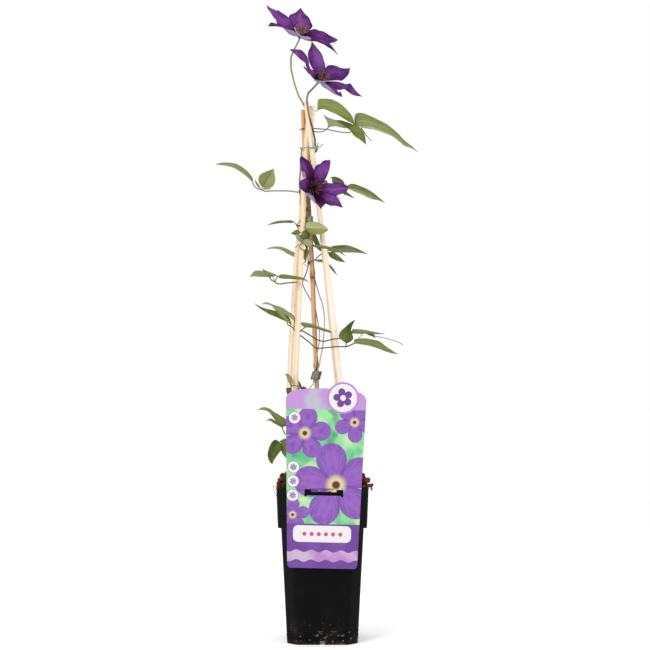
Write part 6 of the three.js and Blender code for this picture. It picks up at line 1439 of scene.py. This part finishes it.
def pot_finish():
    finish = Finish("black_pot_plastic", roughness=0.45, gloss=0.05)
    x, y, z = finish.split(finish.place())
    cloud = finish.noise(None, 18, 4, 0.6)
    fine = finish.noise(None, 900, 2, 0.5)
    low = z.ramp(0.0, 0.035, 1, 0)
    dust = finish.noise(None, 42, 5, 0.7)
    specks = finish.cells(None, 190, "F1").ramp(0.08, 0.2, 1, 0)
    chosen = finish.noise(None, 60, 2, 0.5).ramp(0.5, 0.58)
    scuffs = finish.noise(finish.vector(x, y, z * 2), 150, 3, 0.6).ramp(0.6, 0.68)
    soiled = z.ramp(0.0, 0.007, 0.75, 0) * finish.noise(None, 120, 3, 0.6).ramp(0.4, 0.6)
    rim_soil = z.ramp(0.179, 0.186) * finish.noise(None, 90, 4, 0.7).ramp(0.48, 0.62)
    colour = over(
        mix(cloud, paint(9, 8, 9), paint(17, 16, 17)),
        (dust.ramp(0.5, 0.8) * (0.05 + low * 0.4), paint(92, 84, 78)),
        (specks * chosen * (0.02 + low * 0.9), paint(176, 170, 164)),
        (scuffs * z.ramp(0.006, 0.022, 0.6, 0), paint(150, 140, 130)),
        (soiled, paint(84, 52, 36)),
        (rim_soil * 0.8, paint(62, 38, 26)))
    finish.feed("Base Color", colour)
    finish.feed("Roughness", 0.36 + cloud * 0.16 + low * 0.15)
    finish.bump(fine * 0.4 + cloud, 0.12, 0.2)
    return finish


# ---- soil ----
# The heap of peat from its middle outwards: share of the half width, height.
SOIL_HEAP = [(0, 198.2), (0.36, 197.9), (0.66, 197.4), (0.9, 196.4), (0.955, 194.6), (0.985, 190), (1, 185)]
SOIL_RINGS = 64
CRUMBS = 1500
# the share of the crumbs that lie along the wall
EDGE_CRUMBS = 0.45
CHIPS = 34
FIBRES = 70
FIBRE_SIDES = 5
FIBRE_STEP = 1.2
PLACED_FIBRE_RADIUS = 0.32
ANY_WAY = 6.28
CRUMB_SQUASH = 0.7
CRUMB_ROUGHNESS = 0.35
# A few pieces at the rim that stand out: place, half sizes and how red.
PLACED_CHIPS = [
    ((52.5, -46, 195), (5.2, 3.4, 3.2), 1),
    ((56, -49, 189), (3.6, 2.4, 2), 0.2),
    ((59, -50, 190.5), (2, 1.2, 0.7), 0.1),
    ((57.5, -50, 186), (0.9, 0.8, 2.6), 0.3),
    ((48.5, -51, 188.5), (2.2, 1.4, 1.4), 0.6),
    ((-49.5, -46, 196), (4.2, 2.6, 1.6), 0.35),
    ((-52.5, -49, 191), (1.6, 1.4, 3), 0.3),
    ((-46, -51, 189.5), (2.8, 1.4, 1.8), 0.2),
]
PLACED_FIBRES = [
    [(-54, 181, -50), (-56, 183, -51), (-58, 185, -52), (-59.5, 184.5, -53), (-59, 181.5, -53.5),
     (-58, 177.5, -54), (-56.5, 174.5, -54), (-55, 171, -54.5)],
    [(58.5, 183.5, -50), (60, 181.5, -51), (60, 179.5, -52), (59.5, 177, -52)],
    [(56.5, 186.5, -50), (60, 187, -51), (62.5, 186, -51.5)],
]


def grain_height(x, y):
    """Peat: clods over clods, a few tenths to a few millimetres high."""
    layers = ((2.3, 13, 1.7), (1.3, 5.1, 4.2), (0.7, 2.1, 9.9))
    return sum(height * noise.noise((x / wide, y / wide, level)) for height, wide, level in layers)


def soil_half():
    return RIM_HALF - WALL - GAP


def heap_height(share):
    return np.interp(share, *zip(*SOIL_HEAP))


def soil_share(x, y):
    """How far out a place lies, from 0 in the middle to 1 at the wall."""
    straight = max(abs(x), abs(y)) / soil_half()
    slanted = (abs(x) + abs(y)) / (2 * soil_half() - CORNER_CUT)
    return max(straight, slanted)


def soil_surface(x, y):
    share = min(soil_share(x, y), 1)
    edge = float(between(share, 1.0, 0.9))
    return float(heap_height(share)) + grain_height(x, y) * (0.25 + 0.75 * edge)


def make_soil(finish):
    corner = CORNER_CUT - WALL / 2
    ledge = COLLAR_FOOT_HEIGHT + WALL + GAP
    inset = WALL + GAP
    outline = cut_square(soil_half(), corner, 0)
    steps = [(outline[i] + (outline[(i + 1) % len(outline)] - outline[i]) * s)
             for i in range(len(outline)) for s in (0, 0.34, 0.67)]
    outline = np.array(steps)

    def ring(half, height):
        return outline * (half / soil_half(), half / soil_half(), 0) + (0, 0, height)

    rings = [ring(BASE_HALF - inset, FOOT_HEIGHT + FLOOR + GAP), ring(BODY_TOP_HALF - inset, ledge),
             ring(COLLAR_FOOT_HALF - inset, ledge), ring(soil_half(), RIM_HEIGHT - 6)]
    for share in np.linspace(1, 0.01, SOIL_RINGS):
        level = ring(soil_half() * share, 0)
        level[:, 2] = [soil_surface(x, y) for x, y, _ in level]
        rings.append(level)
    soil = Piece()
    points, faces = loft_shell(rings)
    soil.add(points, faces, tint=(0.3, 0, 0))
    draw = np.random.default_rng(SEED)
    for _ in range(CRUMBS):
        add_crumb(soil, draw)
    soil.make("peat", finish, "soil", "soil")
    litter = Piece()
    for _ in range(CHIPS):
        x, y = (draw.random(2) * 2 - 1) * soil_half() * 0.93
        if soil_share(x, y) < 0.97:
            place = (x, y, soil_surface(x, y) + 0.8)
            add_chip(litter, draw, place, (2 + 4 * draw.random(), 1.3, 0.6), draw.random())
    for place, size, redness in PLACED_CHIPS:
        add_chip(litter, draw, place, size, redness)
    for _ in range(FIBRES):
        add_fibre(litter, draw)
    for points in PLACED_FIBRES:
        shell, faces, _ = tube_shell(elevation_route(points), PLACED_FIBRE_RADIUS, 6, 1, ends=(1, 0.4))
        litter.add(shell, faces, tint=(0.75, 0.6, 1))
    litter.make("bark_and_roots", finish, "soil", "soil")


def add_crumb(soil, draw):
    x, y = (draw.random(2) * 2 - 1) * soil_half()
    if draw.random() < EDGE_CRUMBS:
        side = draw.integers(4)
        near = soil_half() * (0.9 + 0.095 * draw.random())
        x, y = [(near, y), (-near, y), (x, near), (x, -near)][side]
    if soil_share(x, y) > 0.995:
        return
    size = 0.5 + 1.5 * draw.random() ** 2.2
    place = (x, y, soil_surface(x, y) + 0.25 * size)
    soil.add(lump_points(draw, size) + place, LUMP_FACES, tint=(draw.random(), 0, 0))


def add_chip(litter, draw, place, size, redness):
    points = BALL_POINTS * (1 + 0.3 * (draw.random(len(BALL_POINTS)) - 0.5))[:, None]
    points = np.sign(points) * np.abs(points) ** 0.75 * np.array(size)
    tilt = Matrix.Rotation(0.5 * (draw.random() - 0.5), 3, "X")
    tilt = tilt @ Matrix.Rotation(draw.random() * ANY_WAY, 3, "Z")
    litter.add(points @ np.array(tilt).T + place, BALL_FACES, tint=(draw.random(), redness, 0.5))


def add_fibre(litter, draw):
    x, y = (draw.random(2) * 2 - 1) * soil_half() * 0.9
    heading, bend = draw.random() * ANY_WAY, 0.9 * (draw.random() - 0.5)
    length = 5 + 12 * draw.random()
    points = []
    for step in range(5):
        if soil_share(x, y) > 0.96:
            break
        lift = 0.5 + (1.5 * draw.random() if step == 2 else 0)
        points.append((x, y, soil_surface(x, y) + lift))
        x += math.cos(heading) * length / 4
        y += math.sin(heading) * length / 4
        heading += bend
    if len(points) > 2:
        radius = 0.16 + 0.14 * draw.random()
        shell, faces, _ = tube_shell(Route(points), radius, FIBRE_SIDES, FIBRE_STEP, ends=(1, 0.4))
        litter.add(shell, faces, tint=(draw.random(), 0.4, 1))


def soil_finish():
    finish = Finish("peat_soil", roughness=0.95, gloss=0.1)
    chance, redness, fibre = finish.attribute("tint")
    coarse = finish.noise(None, 260, 4, 0.65)
    fine = finish.noise(None, 1400, 3, 0.6)
    peat = mix((coarse * 0.7 + chance * 0.6 - 0.2).ramp(0, 1), paint(58, 30, 21), paint(122, 72, 46))
    peat = mix(fine.ramp(0.6, 0.75, 0, 0.6), peat, paint(150, 104, 74))
    bark = mix(coarse, paint(92, 42, 26), paint(150, 78, 46))
    colour = mix(redness, peat, bark)
    root = mix(chance, paint(120, 84, 58), paint(190, 168, 146))
    finish.feed("Base Color", mix(fibre.ramp(0.8, 1.0), colour, root))
    finish.bump(coarse + fine * 0.5, 0.6, 0.5)
    return finish


# ---- ties and clips ----
WIRE_SIDES = 10
WIRE_STEP = 0.8
TIE_HEIGHT = 590.5
TIE_LOOP = [
    (-12.9, -10), (-9, -10), (-5.9, -9.2), (-4.7, -6.2), (-6.6, -1.6), (-11, 4.5), (-12.8, 9), (-16, 14.6),
    (-20, 17.2), (-24, 16.2), (-25.8, 12), (-26.2, 4), (-26.9, -3), (-26.6, -7), (-23.2, -9.2), (-18, -9.8),
    (-15, -10.1), (-12, -10.1)]
TIE_ENDS = [
    [(-9, -10, 590.5), (-8.2, -11.2, 591.2), (-6, -11.2, 592.4), (-3, -11, 591.4), (0.5, -10.6, 595)],
    [(-9, -10, 590.5), (-8.6, -11.4, 589.2), (-7, -11.9, 589.4), (-6.4, -12, 592.4), (-5, -11.6, 596.5)],
]
CLIPS = {
    "cane_clip_lower": dict(
        x=-7.8, y=-5.8, z=317.4, wide=5.5, deep=6.3, corner=2.8, height=9.5, slant=0.25, pale=0.25),
    "cane_clip_upper": dict(
        x=-15.9, y=9, z=505.6, wide=3.9, deep=4.4, corner=3.2, height=7.5, slant=-0.07, pale=1),
}
CLIP_WALL = 0.7
TAPE_POINTS = 96
TAPE_LEVELS = (-0.5, -0.17, 0.17, 0.5)


def make_tie(finish):
    loop = [(x, y, TIE_HEIGHT + 0.03 * (y + 10)) for x, y in TIE_LOOP]
    tie = Piece()
    for points, radius in [(loop, WIRE_RADIUS)] + [(end, WIRE_RADIUS * 0.9) for end in TIE_ENDS]:
        shell, faces, grain = tube_shell(Route(points), radius, WIRE_SIDES, WIRE_STEP)
        tie.add(shell, faces, grain=grain)
    tie.make("tie_wire_twisted", finish, "wire", "tie_wire")


def make_clip(name, finish, x, y, z, wide, deep, corner, height, slant, pale):
    """A strip of soft tape wound once round the cane, crumpled, with its end lapped over."""
    turns = np.linspace(-0.12, 1.0, TAPE_POINTS) * 2 * math.pi
    lapped = np.linspace(0, 1, TAPE_POINTS) > 0.88
    rows = []
    inner = [(-1, level) for level in TAPE_LEVELS]
    outer = [(1, level) for level in TAPE_LEVELS[::-1]]
    for side, level in inner + outer:
        off = (side - 1) * CLIP_WALL / 2 + 0.2 * CLIP_WALL * (side < 0) + 0.5 * lapped
        crumple = 0.1 * np.sin(5 * turns + 7 * level) + 0.07 * np.sin(13 * turns + 2 * level)
        radius = corner + off + crumple
        up = height * level + 0.25 * np.sin(3 * turns) * abs(level)
        rows.append(np.column_stack([
            (wide - corner) * np.sign(np.cos(turns)) + radius * np.cos(turns) + slant * up,
            (deep - corner) * np.sign(np.sin(turns)) + radius * np.sin(turns), up]))
    points = np.stack(rows, axis=1)
    faces = grid_faces(TAPE_POINTS, len(rows), closed=True)
    last = (TAPE_POINTS - 1) * len(rows)
    faces += [tuple(range(len(rows))), tuple(reversed(range(last, last + len(rows))))]
    points = points.reshape(-1, 3)
    tint = np.column_stack([np.full(len(points), pale), points[:, 0] / wide, points[:, 2]])
    piece = Piece()
    piece.add(points + (x, y, z), faces, tint=tint)
    piece.make(name + "_tape", finish, "clip", name)


def wire_finish():
    finish = Finish("green_wire", roughness=0.4)
    wear = finish.noise(None, 160, 3, 0.6)
    finish.feed("Base Color", mix(wear, paint(92, 158, 130), paint(132, 190, 160)))
    finish.bump(wear, 0.2, 0.1)
    return finish


def tape_finish():
    finish = Finish("grey_green_tape", roughness=0.6, gloss=0.15)
    pale, across, up = finish.attribute("tint")
    creases = finish.noise(finish.vector(across * 3, up * 0.12, pale * 5), 1.6, 4, 0.65)
    grey = mix(creases.ramp(0.35, 0.62), paint(60, 66, 52), paint(126, 132, 110))
    milky = mix(creases.ramp(0.3, 0.6), paint(188, 186, 178), paint(236, 234, 228))
    # painted shade: the right side darker, and the left side too on the less milky clip
    shaded = across.ramp(0.3, 0.75, 0, 0.75).most(across.ramp(-0.72, -0.95, 0, 0.8) * (1 - pale))
    finish.feed("Base Color", mix(shaded, mix(pale, grey, milky), paint(62, 58, 44)))
    finish.bump(creases, 0.5, 0.4)
    return finish


# ---- plant label ----
LABEL_THICKNESS = 0.8
LABEL_BACK = -(RIM_HALF + GAP)
LABEL_FOOT = 92.5
LABEL_MIDDLE = -0.5
LABEL_LEAN = 0.0245
BADGE = (19.8, 200.4, 18.5)
BADGE_FROM = 0.385
BADGE_TO = 2.545
SLOT = dict(half=22.9, end=8.2, leg=2.7, low=83.6, bar=85.2, top=89.6, high=92.6)
HOOK_GAP = 1
TAB_WIDTH = 26
TAB_RISE = 1.2
TAB_DEPTH = 14
TAB_THICKNESS = 0.8


def bend(start, control, end, count=10):
    start, control, end = (np.array(p, float) for p in (start, control, end))
    return [tuple((1 - s) ** 2 * start + 2 * s * (1 - s) * control + s * s * end)
            for s in np.linspace(0, 1, count)]


def label_outline():
    across, up, radius = BADGE
    badge = [(across + radius * math.cos(a), up + radius * math.sin(a))
             for a in np.linspace(BADGE_FROM, BADGE_TO, 48)]
    return (bend((36, 0), (40.8, 0), (41, 5)) + bend((47.2, 197), (46.5, 204.5), (38, 207.4)) + badge
            + bend((3.5, 211), (-17, 211.8), (-37, 208)) + bend((-38, 207.8), (-46.5, 204.5), (-47.2, 197))
            + bend((-41, 5), (-40.8, 0), (-36, 0)))


def slot_outline():
    half, end, leg = SLOT["half"], SLOT["end"], SLOT["leg"]
    low, bar, top, high = SLOT["low"], SLOT["bar"], SLOT["top"], SLOT["high"]
    bumps = [(a + 1.6 * math.cos(s), top + 1.3 * math.sin(s))
             for a in (6.8, -5.2) for s in np.linspace(0.1, math.pi - 0.1, 7)]
    return [(half, low), (half, high), (half - end, high), (half - end, top), *bumps,
            (end - half, top), (end - half, high), (-half, high), (-half, low),
            (leg - half, low), (leg - half, bar), (half - leg, bar), (half - leg, low)]


def plate_mesh(name, outlines, thickness, round_over):
    """A flat plate with holes, standing up in the XZ plane, its back at y = 0."""
    curve = bpy.data.curves.new(name, "CURVE")
    curve.dimensions = "2D"
    curve.fill_mode = "BOTH"
    curve.extrude = (thickness / 2 - round_over) * MM
    curve.bevel_depth = round_over * MM
    curve.bevel_resolution = 1
    for outline in outlines:
        spline = curve.splines.new("POLY")
        spline.points.add(len(outline) - 1)
        for point, (x, z) in zip(spline.points, outline):
            point.co = (x * MM, z * MM, 0, 1)
        spline.use_cyclic_u = True
    holder = add_object(name, curve)
    bpy.context.view_layer.update()
    mesh = bpy.data.meshes.new_from_object(holder.evaluated_get(bpy.context.evaluated_depsgraph_get()))
    bpy.data.objects.remove(holder)
    mesh.transform(Matrix.Translation((0, -thickness / 2 * MM, 0)) @ Matrix.Rotation(math.pi / 2, 4, "X"))
    work = bmesh.new()
    work.from_mesh(mesh)
    bmesh.ops.remove_doubles(work, verts=work.verts, dist=1e-6)
    work.to_mesh(mesh)
    work.free()
    return mesh


def make_label(finish):
    mesh = plate_mesh("label_printed", [label_outline(), slot_outline()], LABEL_THICKNESS, 0.12)
    flat = np.array([tuple(v.co) for v in mesh.vertices]) / MM
    mark_points(mesh, "print", np.column_stack([flat[:, 0], flat[:, 2], flat[:, 1] < -LABEL_THICKNESS / 2]))
    mesh.transform(Matrix.Translation((LABEL_MIDDLE * MM, LABEL_BACK * MM, LABEL_FOOT * MM))
                   @ Matrix.Rotation(LABEL_LEAN, 4, "Y"))
    mesh.materials.append(finish.material)
    settle("label_printed", mesh, "label", "label")
    hook = Piece()
    hook.add(*hook_shell(), print=(0, 190, 0))
    hook.make("label_hook", finish, "label", "label", smooth=False)


def hook_shell():
    """The strip behind the label, bent back over the rim and down inside it."""
    top = RIM_HEIGHT + GAP + TAB_RISE + TAB_THICKNESS / 2
    inside = -(RIM_HALF - WALL - HOOK_GAP) + TAB_THICKNESS / 2
    front = LABEL_BACK - LABEL_THICKNESS / 2
    path = [(front, top - 5), *bend((front, top - 2), (front, top), (front + 1.5, top), 5),
            *bend((inside - 1.5, top), (inside, top), (inside, top - 1.5), 5), (inside, top - TAB_DEPTH)]
    path = np.array(path)
    heading = np.gradient(path, axis=0)
    heading /= np.linalg.norm(heading, axis=1)[:, None]
    normal = np.column_stack([-heading[:, 1], heading[:, 0]]) * TAB_THICKNESS / 2
    rows = []
    for across, side in ((-1, 1), (1, 1), (1, -1), (-1, -1)):
        edge = path + side * normal
        rows.append(np.column_stack([np.full(len(path), across * TAB_WIDTH / 2), edge]))
    points = np.stack(rows, axis=1)
    count = len(path)
    faces = grid_faces(count, 4, closed=True)
    faces += [(3, 2, 1, 0), tuple(range((count - 1) * 4, count * 4))]
    return points.reshape(-1, 3), faces


def flower_mask(across, up, middle, radius, turn, petals):
    """1 inside a simple flower of round petals, how far out each place lies, and its petal's wave."""
    x, y = across - middle[0], up - middle[1]
    far = (x * x + y * y).root() / radius
    wave = abs((y.maths("ARCTAN2", y, x) * (petals / 2) + turn).sine())
    edge = 0.5 + 0.5 * wave ** 0.6
    return (edge - far).ramp(-0.012, 0.012), far, wave


def disc_mask(across, up, middle, radius):
    x, y = across - middle[0], up - middle[1]
    return (x * x + y * y).root().ramp(radius + 0.12, radius - 0.12)


def panel_mask(across, up, left, right, low, high, corner):
    """1 inside a rectangle with rounded corners."""
    x = (abs(across - (left + right) / 2) - ((right - left) / 2 - corner)).most(0)
    y = (abs(up - (low + high) / 2) - ((high - low) / 2 - corner)).most(0)
    return (x * x + y * y).ramp((corner + 0.1) ** 2, (corner - 0.1) ** 2)


HEADER_FOOT = 186.5
PICTURE_FOOT = 52
# The printed flowers: middle, radius and turn.
PRINTED_FLOWERS = [((14, 98), 50, 0.3), ((-24, 158), 31, 1.2), ((34, 172), 24, 2.2), ((-36, 62), 20, 0.9)]
PRINTED_PETALS = 5
PRINTED_DISCS = [(-36.5, 176), (-36.5, 118), (-36.5, 101.5), (-36.5, 85)]


def label_finish():
    finish = Finish("printed_label", roughness=0.32, gloss=0.3)
    across, up, front = finish.attribute("print")
    place = finish.vector(across, up, 0)
    soft = finish.noise(place, 0.035, 2, 0.4)
    softer = finish.noise(finish.vector(across, up, 40), 0.045, 2, 0.4)
    header = mix(soft.ramp(0.48, 0.66), paint(206, 158, 228), paint(202, 200, 218))
    picture = over(
        mix(soft.ramp(0.3, 0.62), paint(96, 204, 138), paint(164, 240, 172)),
        (softer.ramp(0.52, 0.68, 0, 0.9), paint(222, 246, 190)),
        (softer.ramp(0.42, 0.3, 0, 0.7), paint(70, 150, 104)))
    for middle, radius, turn in PRINTED_FLOWERS:
        inside, far, wave = flower_mask(across, up, middle, radius, turn, PRINTED_PETALS)
        veins = finish.noise(finish.vector(far * 2, wave * 6, radius), 1.5, 3, 0.6)
        petal = over(
            mix(veins.ramp(0.3, 0.7), paint(134, 88, 184), paint(166, 108, 206)),
            (wave.ramp(0.0, 0.55, 0.6, 0), paint(104, 62, 158)),
            (far.ramp(0.3, 0.12), paint(236, 222, 160)),
            (far.ramp(0.12, 0.07), paint(110, 44, 60)))
        picture = mix(inside, picture, petal)
    footer = mix(softer.ramp(0.4, 0.6), paint(116, 68, 160), paint(128, 78, 172))
    wave = up - (across * 0.36).sine() * 1.4
    band = mix(soft.ramp(0.4, 0.6), paint(202, 142, 214), paint(214, 190, 220))
    footer = mix(wave.ramp(8.6, 8.8) * wave.ramp(20.2, 20), footer, band)
    white = paint(253, 248, 250)
    leaf_row = panel_mask((across + 30).wrapped(-4.2, 4.2), up, -2.4, 2.4, 37.6, 42.4, 2.3)
    colour = over(
        mix(up.ramp(HEADER_FOOT - 0.1, HEADER_FOOT + 0.1), picture, header),
        (up.ramp(PICTURE_FOOT + 0.1, PICTURE_FOOT - 0.1), footer),
        (panel_mask(across, up, -35, 33, 30.5, 50, 6), white),
        (leaf_row * abs(across + 1).ramp(27, 26.8), paint(226, 84, 142)))
    for spot in PRINTED_DISCS:
        inside, _, _ = flower_mask(across, up, spot, 4.2, 0.6, 6)
        colour = over(
            colour,
            (disc_mask(across, up, spot, 7.2), paint(120, 84, 160)),
            (disc_mask(across, up, spot, 6.7), white),
            (inside, paint(170, 150, 196)))
    middle = BADGE[:2]
    inside, far, _ = flower_mask(across, up, middle, 11.5, 0.2, 5)
    colour = over(
        colour,
        (disc_mask(across, up, middle, BADGE[2] + 0.2), paint(196, 146, 222)),
        (disc_mask(across, up, middle, 16.4), white),
        (inside, paint(122, 70, 164)),
        (far.ramp(0.3, 0.28), white))
    finish.feed("Base Color", mix(front, paint(238, 234, 240), colour))
    finish.bump(soft, 0.1, 0.3)
    return finish


# ---- stage and assembly ----
def make_floor():
    finish = Finish("pale_floor", roughness=0.8, gloss=0.1)
    finish.shader.inputs["Base Color"].default_value = FLOOR_COLOUR
    finish.shader.inputs["Emission Color"].default_value = (1, 1, 1, 1)
    finish.shader.inputs["Emission Strength"].default_value = FLOOR_GLOW
    rim = at_height(circle(np.arange(FLOOR_SIDES) * 2 * math.pi / FLOOR_SIDES, FLOOR_RADIUS), 0)
    mesh = bpy.data.meshes.new("floor")
    mesh.from_pydata(rim.tolist(), [], [tuple(range(len(rim)))])
    mesh.materials.append(finish.material)
    add_object("floor", mesh)


set_camera()
set_light()
make_floor()
make_pot(pot_finish())
make_soil(soil_finish())
peeled = stick_finish()
for number, stick in enumerate(("stick_right", "stick_left_front", "stick_left_back")):
    make_stick(stick, peeled, number + 1)
make_cane(cane_finish())
stalks, leaves = stalk_finish(), leaf_finish()
for number, stem in enumerate(STALKS):
    make_leafy_stem(stem, stalks, leaves, number + 1)
add_tendrils(stalks)
petals, stamens = petal_finish(), stamen_finish()
for number, bloom in enumerate(BLOOMS):
    make_petals(bloom, petals, number + 5)
    make_stamens(bloom, stamens, number + 5)
make_tie(wire_finish())
tape = tape_finish()
for name, clip in CLIPS.items():
    make_clip(name, tape, **clip)
make_label(label_finish())
